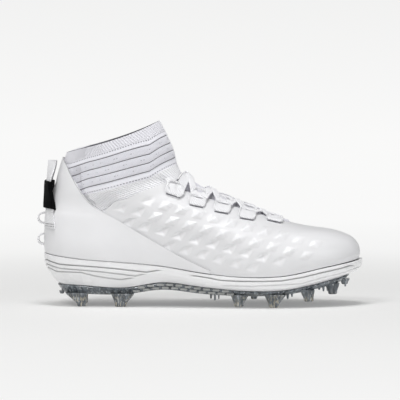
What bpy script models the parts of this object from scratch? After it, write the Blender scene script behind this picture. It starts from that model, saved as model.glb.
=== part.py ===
"""A right-foot studded boot: moulded shell, knitted collar, tongue, insole, sole plate, clear outsole, lacing, heel loops.

The shell, counter, collar, tongue and lacing all follow one surface, the last, which is a stack of rings from the
sole's seam up to the collar's rim. The toe points along +X, the outer side of the foot is -Y, and +Z is up.
"""

import math
from collections import namedtuple

import bmesh
import bpy
import numpy as np

# Driving dimensions, in metres.
LENGTH = 0.305
BALL_WIDTH = 0.108
SOLE_HEIGHT = 0.050
HEEL_RISE = 0.0985
INSTEP_RISE = 0.1300
TOE_SWING = 0.008
UPPER_WALL = 0.0020
COUNTER_WALL = 0.0010
COLLAR_WALL = 0.0036
TONGUE_WALL = 0.0026
TONGUE_PUFF = 0.0023
TONGUE_INSET = 0.0025
INSOLE_THICKNESS = 0.0040
FIT = 0.0004
OVERLAY_FIT = 0.0006
COLLAR_FIT = 0.0009
COLLAR_SHOW = 0.0005
CUP_RIM = 0.0038
CUP_WALL = 0.0034
HEEL_UNDERCUT = 0.0135
SIDE_UNDERCUT = 0.0085
GROOVE_DEPTH = 0.0011
OUTSOLE_BEVEL = 0.0030
OUTSOLE_EDGE = 0.0012
STUD_ROOT = 0.0012
LOOP_WIDTH = 0.0160
LOOP_WALL = 0.0014
LOOP_FIT = 0.0010
LACE_WIDTH = 0.0070
LACE_WALL = 0.0013
LACE_FIT = 0.0004
LACE_SPREAD = 0.0043
STRAP_WALL = 0.0014
SLEEVE_WALL = 0.0012
TAB_WIDTH = 0.0090
TAB_WALL = 0.0011
TAB_REACH = 0.0068

# Shares: how deep the footbed lies in the plate's side, how far it tucks in with the undercut, how far the clear
# outsole's top edge does, and how its side leans between its own bottom and the plate's.
FOOTBED_LEVEL = 0.36
FOOTBED_TUCK = 0.40
OUTSOLE_TUCK = 0.94
OUTSOLE_LEAN = 0.20

# Levels of the last: where the counter starts and the least that is kept of it, and how far above the shell's edge the
# collar starts to swell and is fully swollen.
COUNTER_START = 0.012
COUNTER_LEAST = 0.030
SWELL_START = 0.015
SWELL_RUN = 0.060

# The tongue from its toe end to its top: levels of the last, shares of half the ball width, where it dips under the
# collar, and how much of the puff each line across it has, from the middle line outwards.
TONGUE_LEVELS = (0.46, 0.84)
TONGUE_HALF_WIDTHS = (0.22, 0.50)
TONGUE_DIP = (0.69, 0.74)
TONGUE_PUFFS = (1.00, 1.00, 0.15, 0.00)

# Mesh density.
STATIONS = 64
SHELL_ROWS = 10
COUNTER_ROWS = 8
COLLAR_ROWS = 8
TONGUE_ROWS = 12
LOOP_ROWS = 5
LACE_ROWS = 9
BAR_ROWS = 3
TAB_ROWS = 9
STUD_SIDES = 8

# Steps of the fine scales on which edges and places are looked up.
EDGE_STEPS = 300
PLACE_STEPS = 700
RING_STEPS = 1200
LOWEST_PLACE = 0.06

# The last's rings from the seam (first) to the collar's rim (last). x is a share of LENGTH, back_rise of
# HEEL_RISE above the seam, front_rise of INSTEP_RISE above the toe's seam, and the widths are shares of half the
# ball width. ankle turns the foot's outline into the ankle's, wave keeps the seam's wave, sag lowers the middle.
Ring = namedtuple("Ring", "back_x back_rise front_x front_rise lateral medial ankle wave sag")
RINGS = [
    Ring(0.0070, 0.000, 0.9885, 0.000, 0.970, 0.965, 0.00, 1.00, 0.000),
    Ring(0.0045, 0.061, 0.9930, 0.047, 1.000, 1.000, 0.00, 0.97, 0.000),
    Ring(0.0040, 0.142, 0.9840, 0.114, 1.010, 1.010, 0.02, 0.90, 0.000),
    Ring(0.0048, 0.223, 0.9590, 0.168, 0.985, 0.990, 0.08, 0.78, 0.000),
    Ring(0.0055, 0.305, 0.9050, 0.211, 0.935, 0.945, 0.18, 0.58, 0.000),
    Ring(0.0080, 0.386, 0.8330, 0.236, 0.875, 0.885, 0.34, 0.40, 0.000),
    Ring(0.0125, 0.436, 0.7740, 0.266, 0.820, 0.825, 0.50, 0.27, 0.000),
    Ring(0.0175, 0.492, 0.6750, 0.338, 0.760, 0.760, 0.70, 0.14, 0.000),
    Ring(0.0245, 0.548, 0.5475, 0.452, 0.715, 0.710, 0.86, 0.04, 0.000),
    Ring(0.0325, 0.612, 0.4560, 0.575, 0.690, 0.685, 1.00, 0.00, 0.000),
    Ring(0.0410, 0.695, 0.4220, 0.670, 0.680, 0.675, 1.00, 0.00, 0.002),
    Ring(0.0530, 0.845, 0.4030, 0.825, 0.660, 0.655, 1.00, 0.00, 0.014),
    Ring(0.0690, 1.000, 0.3630, 0.997, 0.650, 0.645, 1.00, 0.00, 0.026),
]
SAG_PLACE = 1.8

# Half outlines at equal steps of angle from heel to toe, as shares of a ring's half width.
Outline = namedtuple("Outline", "lateral medial ankle")
OUTLINES = [
    Outline(0.000, 0.000, 0.000),
    Outline(0.490, 0.470, 0.500),
    Outline(0.680, 0.660, 0.800),
    Outline(0.700, 0.620, 0.950),
    Outline(0.870, 0.690, 1.000),
    Outline(1.030, 0.905, 0.910),
    Outline(0.880, 0.780, 0.690),
    Outline(0.540, 0.460, 0.375),
    Outline(0.000, 0.000, 0.000),
]

# Heights along the sole at equal steps of its length, as shares of SOLE_HEIGHT.
SoleLine = namedtuple("SoleLine", "seam plate_bottom outsole_bottom")
SOLE_LINES = [
    SoleLine(1.000, 0.440, 0.260),
    SoleLine(0.906, 0.410, 0.236),
    SoleLine(0.848, 0.370, 0.232),
    SoleLine(0.778, 0.475, 0.326),
    SoleLine(0.656, 0.392, 0.254),
    SoleLine(0.588, 0.330, 0.222),
    SoleLine(0.608, 0.340, 0.242),
    SoleLine(0.752, 0.480, 0.370),
    SoleLine(0.884, 0.660, 0.560),
]

# The plate's side from rim to underside: drops are shares of the side's height, tuck is a share of the undercut.
SideRow = namedtuple("SideRow", "heel_drop fore_drop tuck groove")
SIDE_ROWS = [
    SideRow(0.00, 0.00, 0.00, 0),
    SideRow(0.18, 0.20, 0.00, 0),
    SideRow(0.22, 0.25, 0.02, 1),
    SideRow(0.26, 0.30, 0.02, 0),
    SideRow(0.34, 0.54, 0.05, 0),
    SideRow(0.38, 0.59, 0.07, 1),
    SideRow(0.42, 0.64, 0.09, 0),
    SideRow(0.52, 0.74, 0.20, 0),
    SideRow(0.56, 0.78, 0.26, 2),
    SideRow(0.60, 0.82, 0.30, 0),
    SideRow(0.80, 0.92, 0.62, 0),
    SideRow(1.00, 1.00, 1.00, 0),
]
# Each groove fades out along these shares of the length: it runs from the heel to the first pair of shares, and from
# the second pair on to the toe.
GROOVE_ENDS = (0.31, 0.36, 0.44, 0.49)
LOW_GROOVE_ENDS = (0.22, 0.27)

# The shell's top edge on each side, x as a share of LENGTH and height above the floor as a share of the whole height.
EdgePoint = namedtuple("EdgePoint", "along height")
CUFF_EDGE = [
    EdgePoint(0.000, 0.790),
    EdgePoint(0.042, 0.800),
    EdgePoint(0.062, 0.828),
    EdgePoint(0.071, 0.800),
    EdgePoint(0.083, 0.744),
    EdgePoint(0.104, 0.668),
    EdgePoint(0.128, 0.600),
    EdgePoint(0.150, 0.560),
    EdgePoint(0.175, 0.530),
    EdgePoint(0.192, 0.524),
    EdgePoint(0.205, 0.545),
    EdgePoint(0.222, 0.574),
    EdgePoint(0.260, 0.594),
    EdgePoint(0.300, 0.626),
    EdgePoint(0.345, 0.655),
    EdgePoint(0.380, 0.682),
    EdgePoint(0.430, 0.720),
    EdgePoint(1.000, 1.100),
]
# The overlay's long front edge, from the collar down to the sole.
COUNTER_EDGE = [
    EdgePoint(0.000, 1.000),
    EdgePoint(0.128, 0.620),
    EdgePoint(0.150, 0.556),
    EdgePoint(0.175, 0.529),
    EdgePoint(0.237, 0.475),
    EdgePoint(0.300, 0.408),
    EdgePoint(0.363, 0.346),
    EdgePoint(0.426, 0.285),
    EdgePoint(0.488, 0.232),
    EdgePoint(0.530, 0.200),
    EdgePoint(1.000, -0.200),
]
# The knitted collar's hidden lower edge.
COLLAR_FOOT = [
    EdgePoint(0.000, 0.480),
    EdgePoint(0.200, 0.440),
    EdgePoint(0.310, 0.500),
    EdgePoint(0.375, 0.590),
    EdgePoint(0.430, 0.725),
    EdgePoint(1.000, 0.725),
]

# Half the width of the throat between the lace rows, as a share of half the ball width.
ThroatPoint = namedtuple("ThroatPoint", "along half_width")
THROAT = [
    ThroatPoint(0.360, 0.530),
    ThroatPoint(0.450, 0.450),
    ThroatPoint(0.530, 0.360),
    ThroatPoint(0.607, 0.275),
    ThroatPoint(0.690, 0.190),
    ThroatPoint(0.745, 0.150),
    ThroatPoint(0.768, 0.100),
    ThroatPoint(0.778, 0.000),
    ThroatPoint(1.000, -0.500),
]

# Where each pair of lace loops stands, from the collar to the toe.
LoopPlace = namedtuple("LoopPlace", "along lean depth")
LOOP_PLACES = [
    LoopPlace(0.408, 0.10, 0.0145),
    LoopPlace(0.482, 0.10, 0.0165),
    LoopPlace(0.560, 0.10, 0.0185),
    LoopPlace(0.638, 0.08, 0.0195),
    LoopPlace(0.722, 0.06, 0.0150),
]
LOOP_OVERHANG = 0.0030

# Studs: places and sizes are shares of LENGTH along the foot and of half the ball width across it, and the tip's
# height is a share of SOLE_HEIGHT. side is -1 for the outer side, +1 for the inner and 0 for the middle.
Stud = namedtuple("Stud", "side root_from root_to tip_from tip_to across root_width tip_width tip_height")
STUDS = [
    Stud(-1, 0.068, 0.136, 0.104, 0.134, 0.36, 0.26, 0.16, 0.000),
    Stud(+1, 0.068, 0.136, 0.104, 0.134, 0.34, 0.26, 0.16, 0.000),
    Stud(-1, 0.212, 0.284, 0.223, 0.259, 0.45, 0.26, 0.17, 0.000),
    Stud(+1, 0.212, 0.284, 0.223, 0.259, 0.40, 0.26, 0.17, 0.000),
    Stud(0, 0.046, 0.066, 0.048, 0.062, 0.00, 0.24, 0.15, 0.210),
    Stud(-1, 0.584, 0.640, 0.594, 0.624, 0.68, 0.24, 0.14, 0.020),
    Stud(+1, 0.596, 0.652, 0.606, 0.636, 0.54, 0.24, 0.14, 0.020),
    Stud(-1, 0.645, 0.678, 0.648, 0.667, 0.28, 0.16, 0.09, 0.125),
    Stud(-1, 0.688, 0.756, 0.702, 0.732, 0.72, 0.26, 0.16, 0.000),
    Stud(+1, 0.700, 0.768, 0.714, 0.744, 0.62, 0.26, 0.16, 0.000),
    Stud(-1, 0.799, 0.846, 0.812, 0.842, 0.60, 0.22, 0.13, 0.105),
    Stud(+1, 0.799, 0.846, 0.812, 0.842, 0.56, 0.22, 0.13, 0.105),
    Stud(0, 0.700, 0.750, 0.710, 0.740, 0.00, 0.22, 0.14, 0.105),
    Stud(-1, 0.878, 0.926, 0.890, 0.918, 0.28, 0.20, 0.12, 0.215),
    Stud(+1, 0.878, 0.926, 0.890, 0.918, 0.36, 0.20, 0.12, 0.215),
    Stud(0, 0.928, 0.960, 0.934, 0.954, 0.00, 0.26, 0.18, 0.380),
]

# The heel strap's leg on the outer side: levels of the last, and how far the webbing stands off the counter there.
StrapRow = namedtuple("StrapRow", "level stand_off")
STRAP_ROWS = [
    StrapRow(0.280, 0.0000),
    StrapRow(0.340, 0.0000),
    StrapRow(0.400, 0.0002),
    StrapRow(0.450, 0.0014),
    StrapRow(0.500, 0.0030),
    StrapRow(0.580, 0.0038),
    StrapRow(0.680, 0.0046),
    StrapRow(0.770, 0.0056),
    StrapRow(0.840, 0.0064),
]
STRAP_STATIONS = (0.020, 0.036, 0.052)
# The arch between the legs: its edges as shares of LENGTH, its top as a share of the whole height.
STRAP_ARCH_EDGES = (0.0120, 0.0260, 0.0400)
STRAP_TOP = 0.797
SLEEVE_LEVELS = (0.490, 0.825)

# The two small webbing tabs on the centre back: heights of their ends, as shares of the whole height.
Tab = namedtuple("Tab", "name top bottom")
TABS = [
    Tab("heel_loop_upper", 0.512, 0.445),
    Tab("heel_loop_lower", 0.395, 0.330),
]

# Colours (linear red, green, blue), roughness.
WHITE_SHELL = ((0.86, 0.86, 0.87), 0.38)
WHITE_COUNTER = ((0.88, 0.88, 0.89), 0.32)
WHITE_KNIT = ((0.80, 0.81, 0.83), 0.90)
WHITE_WEBBING = ((0.84, 0.84, 0.86), 0.80)
WHITE_PLATE = ((0.84, 0.84, 0.86), 0.30)
CLEAR_OUTSOLE = ((0.52, 0.56, 0.60), 0.15)
GREY_LINING = ((0.55, 0.56, 0.58), 0.85)
BLACK_RUBBER = ((0.012, 0.012, 0.014), 0.50)

HALF_WIDTH = BALL_WIDTH / 2
TOE_SEAM = SOLE_HEIGHT * SOLE_LINES[-1].seam
WHOLE_HEIGHT = TOE_SEAM + INSTEP_RISE


def column(rows, name):
    return np.array([getattr(row, name) for row in rows], float)


def even_curve(values, share):
    """A smooth curve through evenly spaced values, read at shares from 0 to 1."""
    ends = np.concatenate([[2 * values[0] - values[1]], values, [2 * values[-1] - values[-2]]])
    place = np.clip(share, 0, 1) * (len(values) - 1)
    first = np.minimum(place.astype(int), len(values) - 2)
    f = place - first
    a, b, c, d = (ends[first + k] for k in range(4))
    return b + f * (c - a + f * (2 * a - 5 * b + 4 * c - d + f * (3 * (b - c) + d - a))) / 2


def sole_line(name, x):
    return SOLE_HEIGHT * even_curve(column(SOLE_LINES, name), np.asarray(x / LENGTH, float))


def edge_height(points, x):
    return WHOLE_HEIGHT * np.interp(x / LENGTH, column(points, "along"), column(points, "height"))


def throat_half_width(x):
    return HALF_WIDTH * np.interp(x / LENGTH, column(THROAT, "along"), column(THROAT, "half_width"))


def centre_y(x):
    """The foot's middle line, which turns to the inner side towards the toe."""
    return TOE_SWING * np.clip(x / LENGTH, 0, None) ** 3


def outlines(u):
    """Position along the ring, side, and the foot's and ankle's half widths, for u from 0 (heel) by 0.5 (toe) to 1."""
    u = np.mod(u, 1)
    along = (1 - np.cos(2 * np.pi * u)) / 2
    lateral = u <= 0.5
    share = np.where(lateral, 2 * u, 2 - 2 * u)
    foot = np.where(
        lateral,
        even_curve(column(OUTLINES, "lateral"), share),
        even_curve(column(OUTLINES, "medial"), share),
    )
    return along, lateral, foot, even_curve(column(OUTLINES, "ankle"), share)


def last_point(u, t):
    """Points of the last's surface: u runs round a ring, t from the seam (0) to the collar's rim (1)."""
    u, t = np.broadcast_arrays(np.asarray(u, float), np.asarray(t, float))
    along, lateral, foot, ankle = outlines(u)
    ring = {name: even_curve(column(RINGS, name), t) for name in Ring._fields}
    back_x = LENGTH * ring["back_x"]
    front_x = LENGTH * ring["front_x"]
    x = back_x + (front_x - back_x) * along
    blend = np.clip(ring["ankle"], 0, 1)
    half = HALF_WIDTH * np.where(lateral, -ring["lateral"], ring["medial"])
    y = centre_y(x) + half * (foot * (1 - blend) + ankle * blend)
    back_z = sole_line("seam", back_x) + HEEL_RISE * ring["back_rise"]
    front_z = TOE_SEAM + INSTEP_RISE * ring["front_rise"]
    chord = sole_line("seam", back_x) * (1 - along) + sole_line("seam", front_x) * along
    z = back_z + (front_z - back_z) * along + ring["wave"] * (sole_line("seam", x) - chord)
    z = z - INSTEP_RISE * ring["sag"] * np.sin(np.pi * along**SAG_PLACE) + FIT
    return np.stack([x, y, z], -1)


def last_normal(u, t):
    step = 1e-4
    t = np.clip(t, step, 1 - step)
    across = last_point(u + step, t) - last_point(u - step, t)
    up = last_point(u, t + step) - last_point(u, t - step)
    normal = np.cross(across, up)
    return normal / np.linalg.norm(normal, axis=-1, keepdims=True)


def on_last(u, t, offset):
    """Points at a distance from the last's surface, outwards where it is positive."""
    u, t, offset = np.broadcast_arrays(u, t, offset)
    return last_point(u, t) + last_normal(u, t) * offset[..., None]


def highest_level(u, margin):
    """For each u, the level at which the margin, a function of x, y and z, first falls to nothing."""
    levels = np.linspace(0, 1, EDGE_STEPS + 1)[:, None]
    points = last_point(np.broadcast_to(u, (len(levels), len(u))), levels)
    gap = margin(points[..., 0], points[..., 1], points[..., 2])
    found = np.argmax(gap <= 0, axis=0)
    found = np.where((gap > 0).all(axis=0), len(levels) - 1, np.maximum(found, 1))
    which = np.arange(len(u))
    before = gap[found - 1, which]
    after = gap[found, which]
    share = np.clip(before / np.where(before == after, 1, before - after), 0, 1)
    return (found - 1 + share) / (len(levels) - 1)


def shell_margin(x, y, z):
    cuff = edge_height(CUFF_EDGE, x) - z
    throat = np.abs(y - centre_y(x)) - throat_half_width(x)
    return np.minimum(cuff, throat)


def counter_margin(x, y, z):
    return np.minimum(edge_height(CUFF_EDGE, x), edge_height(COUNTER_EDGE, x)) - z


def collar_foot_margin(x, y, z):
    return edge_height(COLLAR_FOOT, x) - z


def ring_stations():
    """Values of u for the shell's lines, spread by the mean of their spacing at the seam and at the top edge."""
    u = np.linspace(0, 1, RING_STEPS + 1)
    bottom = last_point(u, 0)
    top = last_point(u, highest_level(u, shell_margin))
    steps = [np.linalg.norm(np.diff(edge, axis=0), axis=1) for edge in (bottom, top)]
    steps = sum(np.minimum(step, 3 * step.mean()) / step.sum() for step in steps)
    run = np.concatenate([[0], np.cumsum(steps)])
    toe = RING_STEPS // 2
    half = np.interp(np.linspace(0, run[toe], STATIONS // 2 + 1), run[: toe + 1], u[: toe + 1])
    return np.concatenate([half, 1 - half[-2:0:-1]])


def across_instep(x, side):
    """u, t, distance from the middle line, and run down from the ridge, across the last at x."""
    levels = np.linspace(LOWEST_PLACE, 1, PLACE_STEPS + 1)
    back_x = LENGTH * even_curve(column(RINGS, "back_x"), levels)
    front_x = LENGTH * even_curve(column(RINGS, "front_x"), levels)
    along = (x - back_x) / (front_x - back_x)
    reach = int(np.argmax(along > 1)) if (along > 1).any() else len(levels)
    levels = levels[:reach][::-1]
    turn = np.arccos(1 - 2 * along[:reach][::-1]) / (2 * np.pi)
    u = turn if side < 0 else 1 - turn
    points = last_point(u, levels)
    run = np.concatenate([[0], np.cumsum(np.linalg.norm(np.diff(points, axis=0), axis=1))])
    return u, levels, np.abs(points[:, 1] - centre_y(x)), run


def over_instep(x, width, drop, offset):
    """A point over the last at x: the width is measured from the middle line, and the drop on from there downwards."""
    side = -1 if width < 0 else 1
    u, t, widths, run = across_instep(x, side)
    wanted = abs(width)
    crossed = int(np.argmax(widths >= wanted))
    before = max(crossed - 1, 0)
    share = (wanted - widths[before]) / max(widths[crossed] - widths[before], 1e-9)
    start = run[before] + (run[crossed] - run[before]) * min(max(share, 0), 1)
    place = start + drop
    return on_last(np.interp(place, run, u), np.interp(place, run, t), np.array(offset))


def sole_outline(u, inset):
    """Plan points of the sole's edge, moved inwards by the inset."""

    def edge(at):
        along, lateral, foot, _ = outlines(at)
        x = LENGTH * along
        return np.stack([x, centre_y(x) + HALF_WIDTH * np.where(lateral, -foot, foot)], -1)

    step = 1e-4
    way = edge(u + step) - edge(u - step)
    way = way / np.linalg.norm(way, axis=-1, keepdims=True)
    inward = np.stack([-way[:, 1], way[:, 0]], -1)
    return edge(u) + inward * np.broadcast_to(inset, u.shape)[:, None]


def undercut(u):
    """How far the plate's underside is tucked in from its edge: most at the heel."""
    end = np.cos(2 * np.pi * u) ** 2
    return SIDE_UNDERCUT + (HEEL_UNDERCUT - SIDE_UNDERCUT) * end


def fade(x, ends):
    low, high = ends
    return np.clip((high - x / LENGTH) / (high - low), 0, 1)


def material(name, colour, roughness):
    made = bpy.data.materials.new(name)
    made.use_nodes = True
    shader = made.node_tree.nodes["Principled BSDF"]
    shader.inputs["Base Color"].default_value = (*colour, 1)
    shader.inputs["Roughness"].default_value = roughness
    shader.inputs["Metallic"].default_value = 0
    return made


def add_object(name, points, faces, look, collection):
    mesh = bpy.data.meshes.new(name)
    mesh.from_pydata([tuple(p) for p in points], [], faces)
    mesh.materials.append(material(name, *look))
    mesh.shade_smooth()
    made = bpy.data.objects.new(name, mesh)
    collection.objects.link(made)
    return made


def grid_faces(rows, columns, closed):
    """Quads of a grid of points, row after row, which face outwards when columns run round and rows run up."""
    faces = []
    for i in range(rows - 1):
        for j in range(columns if closed else columns - 1):
            k = (j + 1) % columns
            faces.append((i * columns + j, i * columns + k, (i + 1) * columns + k, (i + 1) * columns + j))
    return faces


def thicken(made, wall):
    shell = made.modifiers.new("Wall", "SOLIDIFY")
    shell.thickness = wall
    shell.offset = -1
    shell.use_rim = True
    return made


def open_ring(name, grid, wall, look, collection):
    rows, columns = grid.shape[:2]
    made = add_object(name, grid.reshape(-1, 3), grid_faces(rows, columns, True), look, collection)
    return thicken(made, wall)


def open_patch(name, grid, wall, look, collection):
    rows, columns = grid.shape[:2]
    made = add_object(name, grid.reshape(-1, 3), grid_faces(rows, columns, False), look, collection)
    return thicken(made, wall)


def ladder(count, start, upward):
    """Faces across a loop whose points lie in pairs either side of the middle line, from heel to toe."""
    half = count // 2
    faces = []
    for i in range(half):
        a = start + i
        b = start + i + 1
        c = start + (count - i - 1) % count
        d = start + (count - i) % count
        face = [a, b, c, d]
        if i == 0:
            face = [a, b, c]
        if i == half - 1:
            face = [a, b, d]
        faces.append(tuple(face if upward else face[::-1]))
    return faces


def stacked(name, loops, look, collection):
    """A solid from closed loops, with the first one closed from below and the last one from above."""
    count = len(loops[0])
    faces = grid_faces(len(loops), count, True)
    faces += ladder(count, 0, False)
    faces += ladder(count, (len(loops) - 1) * count, True)
    return add_object(name, np.concatenate(loops), faces, look, collection)


def sole_loop(u, inset, height):
    plan = sole_outline(u, inset)
    return np.column_stack([plan, height(plan[:, 0])])


def even_stations():
    return np.arange(STATIONS) / STATIONS


def side_inset(u, row):
    """Inset of the plate's side at a row, with its grooves."""
    inset = undercut(u) * row.tuck
    along = outlines(u)[0] * LENGTH
    if row.groove == 1:
        heel = fade(along, GROOVE_ENDS[:2])
        fore = 1 - fade(along, GROOVE_ENDS[2:])
        inset = inset + GROOVE_DEPTH * np.maximum(heel, fore)
    if row.groove == 2:
        inset = inset + GROOVE_DEPTH * fade(along, LOW_GROOVE_ENDS)
    return inset


def side_height(row):
    """Height of a row of the plate's side at x."""

    def height(x):
        seam = sole_line("seam", x)
        bottom = sole_line("plate_bottom", x)
        fore = np.clip((x / LENGTH - 0.3) / 0.3, 0, 1)
        drop = row.heel_drop + (row.fore_drop - row.heel_drop) * fore
        return seam - (seam - bottom) * drop

    return height


def footbed_height(x):
    """The cup's floor, about a third of the way up the plate's side."""
    seam = sole_line("seam", x)
    bottom = sole_line("plate_bottom", x)
    return bottom + (seam - bottom) * FOOTBED_LEVEL


def footbed_inset(u):
    return CUP_RIM + CUP_WALL + undercut(u) * FOOTBED_TUCK


def make_sole_plate(collection):
    u = even_stations()
    loops = [sole_loop(u, side_inset(u, row), side_height(row)) for row in reversed(SIDE_ROWS)]
    loops.append(sole_loop(u, CUP_RIM, lambda x: sole_line("seam", x)))
    middle = (CUP_RIM + footbed_inset(u)) / 2 - CUP_WALL / 4
    loops.append(sole_loop(u, middle, lambda x: (sole_line("seam", x) + footbed_height(x)) / 2))
    loops.append(sole_loop(u, footbed_inset(u), footbed_height))
    return stacked("sole_plate", loops, WHITE_PLATE, collection)


def make_insole(collection):
    u = even_stations()
    low = sole_loop(u, footbed_inset(u) + FIT, lambda x: footbed_height(x) + FIT)
    edge = footbed_inset(u) - CUP_WALL / 4 + FIT
    high = sole_loop(u, edge, lambda x: footbed_height(x) + FIT + INSOLE_THICKNESS)
    return stacked("insole", [low, high], GREY_LINING, collection)


def stud_solid(stud, collection):
    """A tapered stud from inside the outsole down to its flat tip."""
    side = stud.side if stud.side else 1
    x0, x1 = LENGTH * stud.root_from, LENGTH * stud.root_to
    middle = (x0 + x1) / 2
    y = centre_y(middle) + side * HALF_WIDTH * stud.across
    top = sole_line("outsole_bottom", middle) + STUD_ROOT
    tip = SOLE_HEIGHT * stud.tip_height
    bpy.ops.mesh.primitive_cone_add(vertices=STUD_SIDES, radius1=0.5, radius2=0.5, depth=1)
    made = bpy.context.object
    made.name = "stud_form"
    tip_x = LENGTH * (stud.tip_from + stud.tip_to) / 2
    tip_long = LENGTH * (stud.tip_to - stud.tip_from)
    half_side = math.pi / STUD_SIDES
    for vertex in made.data.vertices:
        low = vertex.co.z < 0
        turn = math.atan2(vertex.co.y, vertex.co.x) + half_side
        long = tip_long if low else x1 - x0
        wide = HALF_WIDTH * (stud.tip_width if low else stud.root_width)
        vertex.co.x = (tip_x if low else middle) + math.cos(turn) / math.cos(half_side) * long / 2
        vertex.co.y = y + math.sin(turn) / math.cos(half_side) * wide / 2
        vertex.co.z = tip if low else top
    for owner in list(made.users_collection):
        owner.objects.unlink(made)
    collection.objects.link(made)
    made.hide_render = True
    made.display_type = "WIRE"
    return made


def make_outsole(collection, cutters):
    u = even_stations()
    low = undercut(u) + OUTSOLE_BEVEL

    def lean(x):
        return sole_line("outsole_bottom", x) * (1 - OUTSOLE_LEAN) + sole_line("plate_bottom", x) * OUTSOLE_LEAN

    loops = [
        sole_loop(u, low + OUTSOLE_BEVEL, lambda x: sole_line("outsole_bottom", x)),
        sole_loop(u, low, lean),
        sole_loop(u, undercut(u) * OUTSOLE_TUCK, lambda x: sole_line("plate_bottom", x) - FIT - OUTSOLE_EDGE),
        sole_loop(u, undercut(u) + FIT, lambda x: sole_line("plate_bottom", x) - FIT),
    ]
    made = stacked("outsole", loops, CLEAR_OUTSOLE, collection)
    for number, stud in enumerate(STUDS):
        join = made.modifiers.new("Stud %d" % number, "BOOLEAN")
        join.operation = "UNION"
        join.solver = "EXACT"
        join.object = stud_solid(stud, cutters)
    return made


def make_upper(collection):
    u = ring_stations()
    top = highest_level(u, shell_margin)
    rows = np.linspace(0, 1, SHELL_ROWS)[:, None]
    grid = on_last(u[None, :], rows * top[None, :], np.zeros(1))
    return open_ring("upper", grid, UPPER_WALL, WHITE_SHELL, collection)


def make_counter(collection):
    u = ring_stations()
    level = highest_level(u, counter_margin)
    run = int(np.argmax(level[: STATIONS // 2] < COUNTER_LEAST)) - 1
    order = np.arange(-run, run + 1)
    rows = np.linspace(0, 1, COUNTER_ROWS)[:, None]
    levels = COUNTER_START + rows * (level[order] - COUNTER_START)[None, :]
    offset = COUNTER_WALL + OVERLAY_FIT
    grid = on_last(u[order][None, :], levels, np.full(1, offset))
    return open_patch("heel_counter", grid, COUNTER_WALL, WHITE_COUNTER, collection)


def collar_offset(u, t):
    """The knit lies inside the shell where that covers it, and swells almost level with it above."""
    edge = highest_level(u[0], shell_margin)
    edge = np.maximum.reduce([np.roll(edge, -1), edge, np.roll(edge, 1)])
    above = (t - edge[None, :] - SWELL_START) / SWELL_RUN
    swell = np.clip(above, 0, 1)
    swell = swell * swell * (3 - 2 * swell)
    covered = -(UPPER_WALL + COLLAR_FIT)
    return covered + (-COLLAR_SHOW - covered) * swell


def make_collar(collection):
    u = ring_stations()
    foot = highest_level(u, collar_foot_margin)
    rows = np.linspace(0, 1, COLLAR_ROWS)[:, None]
    t = foot[None, :] + (1 - foot)[None, :] * rows
    u = np.broadcast_to(u, t.shape)
    grid = on_last(u, t, collar_offset(u, t))
    return open_ring("ankle_collar", grid, COLLAR_WALL, WHITE_KNIT, collection)


def make_tongue(collection):
    """A strip that widens upwards, puffs up in the throat to carry the lace and dips under the collar."""
    levels = np.linspace(*TONGUE_LEVELS, TONGUE_ROWS)
    widths = np.linspace(*TONGUE_HALF_WIDTHS, TONGUE_ROWS) * HALF_WIDTH
    quarter = np.linspace(0.25, 0.5, EDGE_STEPS)
    half_turns = []
    room = []
    for level, wide in zip(levels, widths):
        points = last_point(quarter, level)
        reach = np.abs(points[:, 1] - centre_y(points[:, 0]))
        inner = throat_half_width(points[-1, 0]) - TONGUE_INSET
        room.append(np.clip(inner / TONGUE_INSET, 0, 1))
        inner = max(inner, wide / 10)
        half_turns.append(0.5 - np.interp([0, inner / 2, inner, wide], reach[::-1], quarter[::-1]))
    half_turns = np.array(half_turns)
    u = 0.5 + np.hstack([-half_turns[:, :0:-1], half_turns])
    puff = TONGUE_PUFF * np.array(TONGUE_PUFFS[:0:-1] + TONGUE_PUFFS)
    under_shell = UPPER_WALL + OVERLAY_FIT
    under_collar = UPPER_WALL + COLLAR_FIT + COLLAR_WALL + COLLAR_FIT
    low, high = TONGUE_DIP
    t = levels[:, None]
    deep = np.clip((t - low) / (high - low), 0, 1)
    offset = puff * (1 - deep) * np.array(room)[:, None] - (under_shell + (under_collar - under_shell) * deep)
    grid = on_last(u, t, offset)
    return open_patch("tongue", grid, TONGUE_WALL, WHITE_KNIT, collection)


def make_lace_loops(collection):
    """A folded webbing strip over each edge of the throat, from a slit in the shell up to the lace."""
    for number, place in enumerate(LOOP_PLACES, 1):
        for side, word in ((-1, "lateral"), (1, "medial")):
            x = LENGTH * place.along
            rows = []
            for drop in np.linspace(place.depth, -LOOP_OVERHANG, LOOP_ROWS):
                row = []
                for across in np.linspace(-0.5, 0.5, 3):
                    at = x + across * LOOP_WIDTH - place.lean * drop
                    row.append(over_instep(at, side * throat_half_width(at), drop, LOOP_FIT + LOOP_WALL))
                rows.append(row if side < 0 else row[::-1])
            name = "lace_loop_%s_%d" % (word, number)
            open_patch(name, np.array(rows), LOOP_WALL, WHITE_WEBBING, collection)


def lace_strip(name, start, end, count, collection):
    """A flat lace over the tongue, between two plan points given as x and distance from the middle line."""
    start = np.array(start)
    end = np.array(end)
    way = (end - start) / np.linalg.norm(end - start)
    side = np.array([way[1], -way[0]]) * LACE_WIDTH / 2
    rows = []
    for share in np.linspace(0, 1, count):
        middle = start + (end - start) * share
        rows.append([over_instep(p[0], p[1], 0, LACE_FIT + LACE_WALL) for p in (middle + side, middle - side)])
    return open_patch(name, np.array(rows)[::-1], LACE_WALL, WHITE_WEBBING, collection)


def loop_mouth(number, side, towards_toe):
    """Where the lace comes out of a loop: x and distance from the middle line."""
    x = LENGTH * LOOP_PLACES[number].along + LACE_SPREAD * towards_toe
    inset = LOOP_OVERHANG + FIT + LACE_WIDTH / 2
    return x, side * (throat_half_width(x) - inset)


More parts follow.
